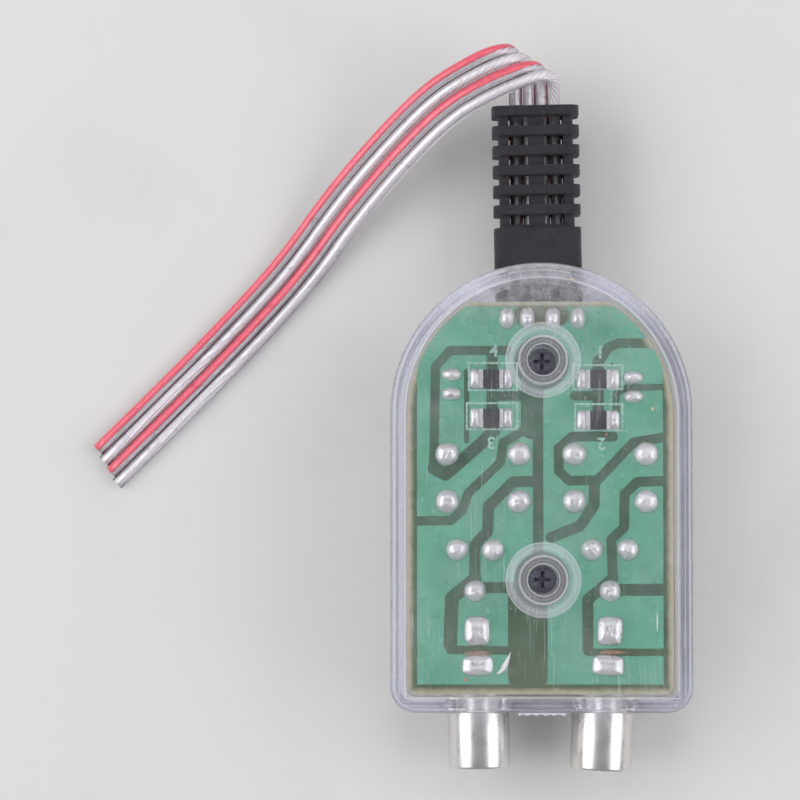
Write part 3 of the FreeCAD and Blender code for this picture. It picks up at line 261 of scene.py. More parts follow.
@dataclass(frozen=True)
class WearAndHighlights:
    """The case's fine scratches, the painted highlights round its screw holes and over its rim, and the haze
    in its arch.

    Attributes:
        start: The level of noise at which the scratches set in, and how far above it they are full.
        rings: Radius, half width and share of white of each painted highlight ring round a screw hole.
        arch: Where on Y the arch's haze sets in and is full, and its share of white.
        dust: The dust's features per metre, and where on Y it sets in.
        rim: Distance from the outline, half width and share of white of each painted highlight line round
            the rim.
    """

    across: float = 9000.0
    along: float = 130.0
    lean: float = 0.7
    start: tuple[float, float] = (0.64, 0.06)
    strength: float = 0.22
    hole_x: float = 0.25 * MM
    holes: tuple[float, ...] = mm(16.8, -12.2)
    # Painted highlights: bright rings in place of the light that each boss and its recess reflect.
    rings: tuple[Point, ...] = (
        (*mm(2.12, 0.2), 0.5),
        (*mm(2.6, 0.5), 0.22),
        (*mm(3.1, 0.22), 0.5),
        (*mm(4.3, 0.6), 0.16),
        (*mm(4.88, 0.16), 0.2),
    )
    # Painted sheen: a faint white disc over each screw hole's recess.
    painted_dish_sheen: tuple[float, float] = (4.95 * MM, 0.08)
    arch: Point = (*mm(21.0, 26.0), 0.16)
    dust: tuple[float, float] = (9000.0, -10.0 * MM)
    outline: Outline = Outline(*mm(19.9, 9.75, -29.65))
    # Painted highlights: fine bright lines round the rim, in place of the lines that the clear wall
    # refracts.
    rim: tuple[Point, ...] = (
        (*mm(0.35, 0.12), 0.3),
        (*mm(1.05, 0.1), 0.22),
        (*mm(1.95, 0.14), 0.42),
    )
    # Painted light: a faint white band across the walls' thickness that lightens the rim.
    wall: tuple[float, float] = (2.0 * MM, 0.1)
    edge: float = 0.1 * MM
    gate: float = 0.5
    walls: float = 0.12

    def scratches(self, shader: Shader) -> Socket:
        """Builds the share of white of the fine scratches, along the case and leaning.

        Args:
            shader: The material's tree.

        Returns:
            The socket with the share.
        """
        grain = (self.across, self.along, self.along)
        turned = {"Vector": shader.place, "Rotation": (0.0, 0.0, self.lean), "Scale": grain}
        straight = shader.noise(1.0, 2.0, shader.scaled(grain))
        leaning = shader.noise(1.0, 2.0, shader.add("Mapping", turned).outputs["Vector"])
        low, fade = self.start
        lines = shader.math("MAXIMUM", shader.between(straight, low, low + fade),
                            shader.between(leaning, low + fade / 2, low + 1.5 * fade))
        fading = shader.between(shader.noise(90.0, 2.0), 0.42, 0.62)
        return shader.times(shader.times(lines, fading), self.strength)

    def haze(self, shader: Shader) -> Socket:
        """Builds the share of white of all the scratches, dust, haze and painted highlights, most of it on
        level faces.

        Args:
            shader: The material's tree.

        Returns:
            The socket with the share.
        """
        shares = [self.scratches(shader)]
        axes = shader.axes()
        aside = shader.minus(axes["X"], self.hole_x)
        for hole in self.holes:
            away = shader.distance(aside, shader.minus(axes["Y"], hole))
            # Painted sheen: a faint white disc over each screw hole's recess.
            radius, share = self.painted_dish_sheen
            shares.append(shader.between(away, radius, radius + self.edge, share, 0.0))
            # Painted highlights: bright rings round each screw hole.
            shares += [shader.band(away, *ring) for ring in self.rings]
        low, high, share = self.arch
        uneven = shader.between(shader.noise(700.0, 4.0), 0.35, 0.7, 0.2, 1.3)
        shares.append(shader.times(shader.between(axes["Y"], low, high, 0.0, share), uneven))
        features, start = self.dust
        specks = shader.between(shader.noise(features, 0.0), 0.71, 0.8)
        clumps = shader.between(shader.noise(330.0, 3.0), 0.42, 0.62, 0.12, 1.0)
        dust = shader.times(specks, shader.between(axes["Y"], start, high, 0.4, 1.2))
        shares.append(shader.times(dust, clumps))
        depth = self.outline.inset(shader)
        # Painted light over the walls, then painted highlight lines round the rim.
        thickness, share = self.wall
        shares.append(shader.between(depth, thickness, thickness + self.edge, share, 0.0))
        shares += [shader.band(depth, *line) for line in self.rim]
        normal = shader.add("NewGeometry").outputs["Normal"]
        facing = shader.math("ABSOLUTE", shader.add("SeparateXYZ", {0: normal}).outputs["Z"])
        level = shader.between(facing, 0.3, 0.75, self.walls, 1.0)
        gate = shader.between(depth, *mm(-0.15, -0.02), self.gate, 0.0)
        return shader.plus(shader.times(shader.plus(*shares), level), gate)


@dataclass(frozen=True)
class Clear:
    """A clear plastic: its tint, the ranges of its roughness and of the white haze in it, and its marks with
    their painted highlights.
    """

    tint: Colour
    rough: tuple[float, float]
    haze: tuple[float, float]
    ior: float = 1.49
    wear_and_highlights: Optional[WearAndHighlights] = None

    def material(self, name: str) -> Material:
        """Builds a clear plastic that lets the lamps' light through.

        Args:
            name: The material's name.

        Returns:
            The material.
        """
        shader = Shader(name)
        clouds = shader.noise(160.0, 5.0)
        specks = shader.between(shader.noise(2600.0, 1.0), 0.70, 0.76)
        shares = [shader.between(clouds, 0.4, 0.7, *self.haze), shader.times(specks, 0.22)]
        if self.wear_and_highlights:
            # These marks add painted highlights and painted sheen round the screw holes and over the rim,
            # besides real scratches and dust.
            shares.append(self.wear_and_highlights.haze(shader))
        haze = shader.math("MINIMUM", shader.plus(*shares), 1.0)
        glass = shader.add("BsdfPrincipled", {
            "Base Color": self.tint,
            "Roughness": shader.between(clouds, 0.3, 0.7, *self.rough),
            "Transmission Weight": 1.0,
            "IOR": self.ior,
            "Normal": shader.bump(shader.noise(420.0, 2.0), 0.03 * MM, 0.35),
        })
        # This white carries the haze and dust, and also the painted highlights and sheen.
        dust = shader.add("BsdfPrincipled", {"Base Color": tone(232, 232, 238), "Roughness": 0.7})
        surface = shader.add("MixShader", {0: haze, 1: glass.outputs["BSDF"], 2: dust.outputs["BSDF"]})
        passing = shader.add("BsdfTransparent", {"Color": self.tint})
        shadow = shader.add("LightPath").outputs["Is Shadow Ray"]
        both = shader.add("MixShader", {0: shadow, 1: surface.outputs[0], 2: passing.outputs[0]})
        return shader.surface(both.outputs[0])


@dataclass(frozen=True)
class BoardMask:
    """The board's dark green mask, inside a bare beige rim. Near that, and low on Y, it is olive."""

    outline: Outline = Outline(*mm(17.78, 9.75, -27.53))
    high_y: float = 24.95 * MM
    rim: float = 0.5 * MM
    ragged: float = 0.5 * MM
    margin: float = 1.7 * MM
    olive: tuple[float, ...] = mm(-27.0, -12.0)

    def material(self, name: str) -> Material:
        """Builds the board's material.

        Args:
            name: The material's name.

        Returns:
            The material.
        """
        shader = Shader(name)
        height = shader.axes()["Y"]
        depth = self.outline.inset(shader)
        nearest = shader.math("MINIMUM", depth, shader.minus(self.high_y, height))
        ragged = shader.times(shader.minus(shader.noise(700.0), 0.5), self.ragged)
        inside = shader.between(shader.plus(nearest, ragged), self.rim - 0.2 * MM, self.rim + 0.45 * MM)
        clouds = shader.between(shader.noise(260.0), 0.4, 0.65)
        mask = shader.blend(clouds, tone(54, 96, 66), tone(44, 78, 52))
        low_part = shader.between(height, *self.olive, 0.9, 0.0)
        border = shader.between(nearest, self.rim, self.margin, 0.9, 0.0)
        olive = shader.math("MAXIMUM", low_part, border)
        mask = shader.blend(olive, mask, tone(68, 88, 46))
        beige = shader.blend(shader.noise(1600.0), tone(188, 182, 154), tone(158, 152, 120))
        principled = shader.add("BsdfPrincipled", {
            "Base Color": shader.blend(inside, beige, mask),
            "Roughness": shader.between(shader.noise(300.0), 0.3, 0.7, 0.35, 0.5),
            "Normal": shader.bump(shader.noise(2200.0), 0.01 * MM),
        })
        return shader.surface(principled.outputs["BSDF"])


@dataclass(frozen=True)
class CopperMask:
    """The light green mask over the copper, thin in places, with a dark round-ended patch in it."""

    x: float = 0.25 * MM
    y: float = 23.2 * MM
    straight: float = 2.1 * MM
    radius: tuple[float, ...] = mm(1.45, 1.75)

    def material(self, name: str) -> Material:
        """Builds the material of the copper under its mask.

        Args:
            name: The material's name.

        Returns:
            The material.
        """
        shader = Shader(name)
        axes = shader.axes()
        along = shader.math("ABSOLUTE", shader.minus(axes["X"], self.x))
        beyond = shader.math("MAXIMUM", shader.minus(along, self.straight), 0.0)
        reach = shader.distance(beyond, shader.minus(axes["Y"], self.y))
        patch = shader.between(reach, *self.radius, 1.0, 0.0)
        clouds = shader.between(shader.noise(220.0, 4.0), 0.35, 0.7)
        green = shader.blend(clouds, tone(98, 172, 140), tone(84, 156, 124))
        worn = shader.between(shader.noise(1500.0, 2.0), 0.62, 0.74)
        green = shader.blend(worn, green, tone(124, 186, 156))
        principled = shader.add("BsdfPrincipled", {
            "Base Color": shader.blend(patch, green, tone(92, 104, 74)),
            "Roughness": shader.between(shader.noise(500.0), 0.3, 0.7, 0.25, 0.42),
            "Coat Weight": 0.25,
            "Normal": shader.bump(shader.noise(900.0), 0.02 * MM),
        })
        return shader.surface(principled.outputs["BSDF"])


FINISHES: dict[str, Union[Finish, Clear, BoardMask, CopperMask]] = {
    "clear_shell": Clear((0.93, 0.93, 0.965), (0.045, 0.085), (0.01, 0.05), wear_and_highlights=WearAndHighlights()),
    **dict.fromkeys(("wire_clear", "wire_red"), Clear((0.9, 0.87, 0.9), (0.03, 0.09), (0.01, 0.04), 1.46)),
    "laminate": BoardMask(),
    "masked_copper": CopperMask(),
    "black_steel": Finish((82, 80, 88), (56, 55, 60), scale=1800, metallic=0.2),
    "rubber": Finish((40, 38, 46), (150, 148, 156), (0.38, 0.66), Grain.SPECKLED, 2600, 0.88, 0.1 * MM,
                     specular=0.4, sheen=0.1),
    "solder": Finish((236, 234, 232), (176, 172, 166), (0.26, 0.46), scale=1500, cover=0.6,
                     relief=0.04 * MM, metallic=0.75),
    "chip_body": Finish((30, 31, 33), (58, 60, 60), (0.25, 0.4), scale=2200, coat=0.4),
    "core_steel": Finish((120, 120, 124), (62, 60, 60), (0.3, 0.5), Grain.LAMINATED, 900, 0.6,
                         metallic=0.8),
    "black_plastic": Finish((36, 36, 38), (56, 56, 60)),
    "winding_tape": Finish((226, 190, 88), (196, 150, 50), (0.3, 0.45), Grain.BRUSHED, 700, coat=0.3),
    "tinned_wire": Finish((200, 198, 194), (150, 146, 140), (0.2, 0.4), scale=2000, metallic=1.0),
    "trimmer_base": Finish((150, 104, 66), (112, 72, 42), (0.55, 0.75), Grain.SPECKLED, 2400, 0.8),
    "trimmer_rotor": Finish((232, 230, 218), (206, 202, 186), (0.35, 0.5)),
    "wiper_brass": Finish((206, 178, 112), (150, 118, 62), (0.2, 0.4), Grain.BRUSHED, 1600, metallic=1.0),
    "capacitor_sleeve": Finish((38, 44, 78), (58, 64, 100), (0.25, 0.35), coat=0.5),
    "jack_plating": Finish((232, 230, 228), (158, 152, 146), (0.24, 0.36), scale=2600, cover=0.66,
                           relief=0.002 * MM, metallic=1.0),
    "insulator_left": Finish((238, 238, 232), (212, 210, 200), (0.3, 0.45), coat=0.2),
    "insulator_right": Finish((206, 42, 48), (170, 26, 34), (0.3, 0.45), coat=0.2),
    "contact_plating": Finish((218, 214, 202), (160, 152, 136), (0.12, 0.3), scale=1500, metallic=1.0),
    "print_ink": Finish((170, 208, 190), (122, 166, 144), (0.5, 0.65), scale=2600, cover=0.46),
    "flux": Finish((150, 118, 92), (116, 88, 66), (0.3, 0.5), coat=0.3),
    "rust_dot": Finish((206, 122, 56), (170, 92, 40), (0.5, 0.6)),
    "dark_dot": Finish((36, 36, 32), (64, 60, 52), (0.5, 0.7)),
    "grey_dot": Finish((150, 154, 150), (112, 116, 112), (0.5, 0.7)),
    "beige_fleck": Finish((208, 196, 170), (176, 160, 130), (0.6, 0.8)),
    "frost": Finish((246, 246, 248), (206, 208, 214), (0.5, 0.7)),
    "stripe": Finish((240, 105, 125), (222, 84, 104), (0.3, 0.45), coat=0.3),
    "strand": Finish((246, 245, 248), (206, 203, 210), (0.24, 0.36), scale=1500, cover=0.6, metallic=0.35),
    "floor": Finish((236, 236, 234), (230, 230, 228), (0.75, 0.9), scale=40, relief=0.0),
}


class Palette:
    """Every material of the scene, made once and kept by name."""

    def __init__(self) -> None:
        """Starts with no material made."""
        self.made: dict[str, Material] = {}

    def get(self, name: str) -> Material:
        """Returns a material, making it first if nobody has asked for it."""
        if name not in self.made:
            self.made[name] = FINISHES[name].material(name)
        return self.made[name]


class MeshMaker:
    """Collects points and faces and turns them into one piece of the scene."""

    def __init__(self) -> None:
        """Starts an empty mesh."""
        self.points: list[Vector] = []
        self.faces: list[tuple[int, ...]] = []

    def ring(self, points: Sequence[Vector]) -> list[int]:
        """Adds points and returns their numbers."""
        first = len(self.points)
        self.points += [Vector(point) for point in points]
        return list(range(first, first + len(points)))

    def bridge(self, low: Sequence[int], high: Sequence[int]) -> None:
        """Joins two closed rings of as many points by quads."""
        for index in range(len(low)):
            after = (index + 1) % len(low)
            self.faces.append((low[index], low[after], high[after], high[index]))

    def fan(self, ring: Sequence[int], turned: bool = False) -> None:
        """Closes a ring with one face."""
        self.faces.append(tuple(reversed(ring)) if turned else tuple(ring))

    def tube(self, rings: Sequence[Sequence[int]], closed: bool = True) -> None:
        """Joins rings one after the other and closes the first one.

        Args:
            rings: The rings.
            closed: Whether the last one is closed too.
        """
        for low, high in zip(rings, rings[1:]):
            self.bridge(low, high)
        self.fan(rings[0], turned=True)
        if closed:
            self.fan(rings[-1])

    def piece(self, name: str, material: Material, smooth: bool = True) -> bpy.types.Object:
        """Makes the object.

        Args:
            name: The piece's name.
            material: Its material.
            smooth: Whether its faces are shaded smooth.

        Returns:
            The object, linked to the scene.
        """
        mesh = bpy.data.meshes.new(name)
        mesh.from_pydata([tuple(point) for point in self.points], [], self.faces)
        mesh.update()
        mesh.validate()
        mesh.materials.append(material)
        for polygon in mesh.polygons:
            polygon.use_smooth = smooth and len(polygon.vertices) <= 4
        item = bpy.data.objects.new(name, mesh)
        bpy.context.scene.collection.objects.link(item)
        LOG.info("%s: %d faces", name, len(mesh.polygons))
        return item


@dataclass(frozen=True)
class Mark:
    """A small spot on a face: its place, its half sizes and its finish."""

    name: str
    x: float
    y: float
    half_x: float
    half_y: float
    finish: str


class Builder:
    """Something that builds a part of the scene, with the palette's materials."""

    def __init__(self, palette: Palette) -> None:
        """Takes the materials."""
        self.palette = palette

    def spot(self, mark: Mark, level: float, chance: random.Random, slot: str) -> None:
        """Makes a small, low and uneven spot on a level face.

        Args:
            mark: The spot.
            level: The level of the face.
            chance: The source of its unevenness.
            slot: The record's material slot; not used.
        """
        steps, uneven = 18, 0.18
        maker = MeshMaker()
        wobble = [1 + chance.uniform(-uneven, uneven) for _ in range(steps)]
        angles = [2 * math.pi * step / steps for step in range(steps)]
        rings = []
        for share, lift in ((1.0, 0.0), (0.8, 0.03 * MM), (0.4, 0.05 * MM)):
            rings.append(maker.ring([
                Vector((mark.x + mark.half_x * share * reach * math.cos(angle),
                        mark.y + mark.half_y * share * reach * math.sin(angle),
                        level + lift)) for reach, angle in zip(wobble, angles)]))
        maker.tube(rings)
        piece = maker.piece(mark.name, self.palette.get(mark.finish))
        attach(piece, "case")


# Cable


@dataclass(frozen=True)
class CableSizes:
    """The flat cable: the middle line's control points and the sizes of its conductors.

    Attributes:
        fold_shift: How far one pitch moves a conductor at the fold's points.
        grooves: The strands' radius in their grooves and how far they rise from it, as shares.
        stripe: The angles at which the stripe starts and ends, from the side that lies down at the mouth.
        stripe_turn: How far the stripe turns in the fold, and the length in which it does.
        trims: How much longer each conductor's cut end is than the square cut.
    """

    route: tuple[Point, ...] = (
        mm(-0.428, 51.946, 7.2),
        mm(-0.493, 55.34, 7.2),
        mm(-0.5, 57.2, 8.61),
        mm(-1.3, 57.83, 10.59),
        mm(-3.25, 57.38, 12.0),
        mm(-7.4, 55.72, 12.0),
        mm(-13.6, 52.3, 10.1),
        mm(-20.6, 45.6, 6.4),
        mm(-27.0, 38.4, 3.1),
        mm(-32.6, 30.7, 1.2),
        mm(-39.2, 23.3, 0.87),
        mm(-49.3, 12.9, 0.87),
        mm(-59.3, 3.11, 0.87),
    )
    fold_points: tuple[int, ...] = (1, 2, 3, 4)
    fold_shift: Point = (1.013, -0.661, 0.0)
    pitch: float = 1.75 * MM
    radius: float = 0.85 * MM
    web: float = 0.26 * MM
    strand: float = 0.5 * MM
    lay: float = 9.5 * MM
    stripe: tuple[float, float] = (math.radians(-50), math.radians(75))
    stripe_turn: tuple[float, float] = (math.radians(36), 12.0 * MM)
    stripe_depth: tuple[float, float] = (0.965, 0.86)
    grooves: tuple[float, float] = (0.72, 0.32)
    trims: tuple[float, ...] = mm(-0.7, -0.2, 0.2, 0.7)
    length: float = 90.0 * MM
    count: int = 4


@dataclass(frozen=True)
class LeadSizes:
    """The conductors inside the boot and the case, down to their pads on the board."""

    pads: tuple[float, ...] = mm(-4.4, -1.7, 1.75, 5.1)
    pad_y: float = 22.75 * MM
    arch_top: Point = mm(0.0, 29.65, 7.2)
    lean: float = math.radians(1.1)
    reach: float = 22.3 * MM
    inner: float = 4.4 * MM
    drop: float = 0.7 * MM
    under_board: float = 12.4 * MM


class Line:
    """Points along a NURBS spline, and the way it runs at each of them."""

    def __init__(self, controls: Sequence[Vector], resolution: int = 14) -> None:
        """Reads the points of a spline.

        Args:
            controls: Its control points.
            resolution: How finely it is divided.
        """
        curve = bpy.data.curves.new("route", "CURVE")
        curve.dimensions = "3D"
        curve.resolution_u = resolution
        spline = curve.splines.new("NURBS")
        spline.points.add(len(controls) - 1)
        for target, source in zip(spline.points, controls):
            target.co = (*source, 1.0)
        spline.order_u = 3
        spline.use_endpoint_u = True
        holder = bpy.data.objects.new("route", curve)
        mesh = bpy.data.meshes.new_from_object(holder)
        self.points = [vertex.co.copy() for vertex in mesh.vertices]
        bpy.data.objects.remove(holder)
        bpy.data.curves.remove(curve)
        bpy.data.meshes.remove(mesh)

    def ways(self) -> list[Vector]:
        """Returns the unit direction of the line at each point."""
        points = [self.points[0], *self.points, self.points[-1]]
        return [(after - before).normalized() for before, after in zip(points, points[2:])]

    def distances(self) -> list[float]:
        """Returns each point's distance along the line."""
        run = [0.0]
        for before, after in zip(self.points, self.points[1:]):
            run.append(run[-1] + (after - before).length)
        return run


def sweep(maker: MeshMaker, line: Line, across: Sequence[Vector],
          profile: Callable[[float], Section]) -> None:
    """Sweeps a closed section along a line and closes both its ends.

    Args:
        maker: The mesh that takes the faces.
        line: The line.
        across: The direction of the section's first axis at each point.
        profile: A function of the distance along the line that gives the section's points.
    """
    rings = []
    for point, way, side, run in zip(line.points, line.ways(), across, line.distances()):
        first = (side - way * side.dot(way)).normalized()
        second = first.cross(way)
        rings.append(maker.ring([point + first * u + second * v for u, v in profile(run)]))
    maker.tube(rings)


class Cable(Builder):
    """The flat cable of four conductors, and their leads inside the boot and the case."""

    sizes = CableSizes()
    leads = LeadSizes()

    def offset(self, index: int) -> float:
        """Returns how far a conductor lies from the middle of the cable, in pitches."""
        return index - (self.sizes.count - 1) / 2

    def controls(self, index: int) -> list[Vector]:
        """Works out the control points of one conductor.

        Args:
            index: The conductor's number, from the left at the mouth.

        Returns:
            The control points, from the mouth to the cut end.
        """
        middle = [Vector(point) for point in self.sizes.route]
        points = []
        for position, place in enumerate(middle):
            if position in self.sizes.fold_points:
                shift = Vector(self.sizes.fold_shift)
            else:
                around = middle[max(position - 1, 0):position + 2]
                runs = [end - start for start, end in zip(around, around[1:])]
                sides = [Vector((run.y, -run.x, 0.0)).normalized() for run in runs]
                mean = sum(sides, Vector()).normalized()
                shift = mean / mean.dot(sides[0])
                if position > self.sizes.fold_points[-1]:
                    shift = -shift
            points.append(place + shift * self.offset(index) * self.sizes.pitch)
        points[-1] += (points[-1] - points[-2]).normalized() * self.sizes.trims[index]
        return points

    def sheath_section(self, index: int, steps: int = 28) -> Section:
        """Returns the section of a sheath, with its half of the web to each neighbour.

        Args:
            index: The conductor's number.
            steps: Points round the section.

        Returns:
            The section's points.
        """
        sizes = self.sizes
        edge = {1: index < sizes.count - 1, -1: index > 0}
        points = []
        for step in range(steps):
            angle = -2 * math.pi * step / steps
            u, v = sizes.radius * math.cos(angle), sizes.radius * math.sin(angle)
            if edge[1 if u > 0 else -1] and abs(v) < sizes.web:
                u = math.copysign(sizes.pitch / 2, u)
            points.append((u, v))
        return points

    def strand_section(self, run: float, steps: int = 56, lobes: int = 7) -> Section:
        """Returns the section of the twisted strands.

        Args:
            run: The distance along the conductor.
            steps: Points round the section.
            lobes: How many strands show round it.

        Returns:
            The section's points.
        """
        turn = 2 * math.pi * run / self.sizes.lay
        base, rise = self.sizes.grooves
        section = []
        for step in range(steps):
            angle = -2 * math.pi * step / steps
            reach = self.sizes.strand * (base + rise * abs(math.cos(lobes * (angle - turn) / 2)))
            section.append((reach * math.cos(angle), reach * math.sin(angle)))
        return section

    def stripe_section(self, run: float, steps: int = 12) -> Section:
        """Returns the section of the coloured stripe, just under the sheath's surface.

        Args:
            run: The distance from the mouth, or nothing inside the boot, where the stripe doesn't turn.
            steps: Points along the stripe's width.

        Returns:
            The section's points.
        """
        turn, reach = self.sizes.stripe_turn
        start, end = (edge + turn * min(run / reach, 1.0) for edge in self.sizes.stripe)
        outer, inner = (share * self.sizes.radius for share in self.sizes.stripe_depth)
        angles = [start + (end - start) * step / steps for step in range(steps + 1)]
        face = [(-outer * math.sin(angle), -outer * math.cos(angle)) for angle in angles]
        back = [(-inner * math.sin(angle), -inner * math.cos(angle)) for angle in reversed(angles)]
        return face + back

    def conductor(self, name: str, index: int, line: Line, across: Sequence[Vector],
                  turns: bool) -> list[bpy.types.Object]:
        """Makes one conductor: its sheath, its strands and, on every other one, its stripe.

        Args:
            name: The name that the pieces start with.
            index: The conductor's number.
            line: Its line.
            across: The direction to its right-hand neighbour at each point.
            turns: Whether its stripe turns along the line.

        Returns:
            The sheath first, then the pieces in it.
        """
        striped = index % 2 == 0
        parts = [("sheath", lambda run: self.sheath_section(index), "wire_red" if striped else "wire_clear"),
                 ("strands", self.strand_section, "strand")]
        if striped:
            parts.append(("stripe", lambda run: self.stripe_section(run if turns else 0.0), "stripe"))
        made = []
        for part, profile, material in parts:
            maker = MeshMaker()
            sweep(maker, line, across, profile)
            piece = maker.piece(f"{name}_{part}", self.palette.get(material))
            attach(piece, "case")
            made.append(piece)
        return made

    def build(self) -> None:
        """Makes the four cords and the four leads."""
        lines = [Line(self.controls(index)) for index in range(self.sizes.count)]
        across = [(last - first).normalized() for first, last in zip(lines[0].points, lines[-1].points)]
        for index, line in enumerate(lines):
            sheath, *inside = self.conductor(f"conductor_{index + 1}", index, line, across, True)
            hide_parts(f"cable_wire_{index + 1}")
        turn = Matrix.Rotation(self.leads.lean, 3, "Z")
        top = Vector(self.leads.arch_top)
        for index, pad in enumerate(self.leads.pads):
            shift = self.offset(index) * self.sizes.pitch
            inner = top + turn @ Vector((shift, -self.leads.inner, 0.0))
            bend = Vector((pad, self.leads.pad_y, inner.z - self.leads.drop))
            mouth = top + turn @ Vector((shift, self.leads.reach, 0.0))
            line = Line([Vector((pad, self.leads.pad_y, self.leads.under_board)), bend, inner, mouth])
            right = [turn @ Vector((1.0, 0.0, 0.0))] * len(line.points)
            sheath = self.conductor(f"lead_{index + 1}", index, line, right, False)[0]
            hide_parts(f"cable_lead_{index + 1}")


# Solder and print on the board


@dataclass(frozen=True)
class Form:
    """One kind of solder joint: its size, the power of its outline, its dip and its raised corners."""

    half_x: float
    half_y: float
    height: float = 1.0 * MM
    square: float = 2.0
    dimple: float = 0.0
    corners: float = 0.0


@dataclass(frozen=True)
class Joint:
    """One joint of solder: its place, its form and how far it is turned."""

    x: float
    y: float
    form: Form
    turn: float = 0.0


@dataclass(frozen=True)
class BoardSizes:
    """Places on the board's upper side, the kinds of joint on it and the print.

    Attributes:
        legs: The distance of each jack's legs from the lower wall, and their form.
        frames: Left, right, low and high side of each printed frame.
        frame_ink: How far the frames lie above the mask, and how thick they are.
        digit_ink: How far the digits lie above the mask, half their thickness and what makes them bold.
    """

    top: float = 14.07 * MM
    pin: float = 0.3 * MM
    transformer: Form = Form(*mm(1.62, 1.62), dimple=0.15)
    trimmer: Form = Form(*mm(1.5, 1.5), dimple=0.1)
    capacitor: Form = Form(*mm(1.35, 0.9, 0.85), square=2.4)
    chip: Form = Form(*mm(0.72, 1.4, 0.5), square=3.2)
    wire: Form = Form(*mm(1.08, 1.48), square=2.3)
    chip_reach: float = 2.2 * MM
    legs: tuple[tuple[float, Form], ...] = (
        (6.0 * MM, Form(*mm(2.15, 1.4, 0.8), 4.0, 0.3, 0.3)),
        (10.6 * MM, Form(*mm(1.76, 1.95, 0.8), 4.0, 0.3, 0.3)),
    )
    wall_y: float = -29.65 * MM
    jack_xs: tuple[float, ...] = mm(-8.2, 8.75)
    jack_toes: tuple[float, float] = (math.radians(1.2), math.radians(-2.9))
    line: float = 0.26 * MM
    frames: tuple[tuple[float, ...], ...] = (
        mm(-9.63, -2.92, 12.95, 16.84),
        mm(-9.89, -2.92, 7.72, 11.48),
        mm(4.32, 11.16, 13.09, 16.57),
        mm(4.59, 11.16, 7.59, 11.34),
    )
    frame_ink: tuple[float, ...] = mm(0.03, 0.02)
    digit: tuple[float, float] = (1.6 * MM, 1.4)
    digit_ink: tuple[float, ...] = mm(0.04, 0.01, 0.05)
    stain: float = 0.005 * MM
    ripple: Point = (1.3, 0.07, 0.14)
    foot: float = 2.4


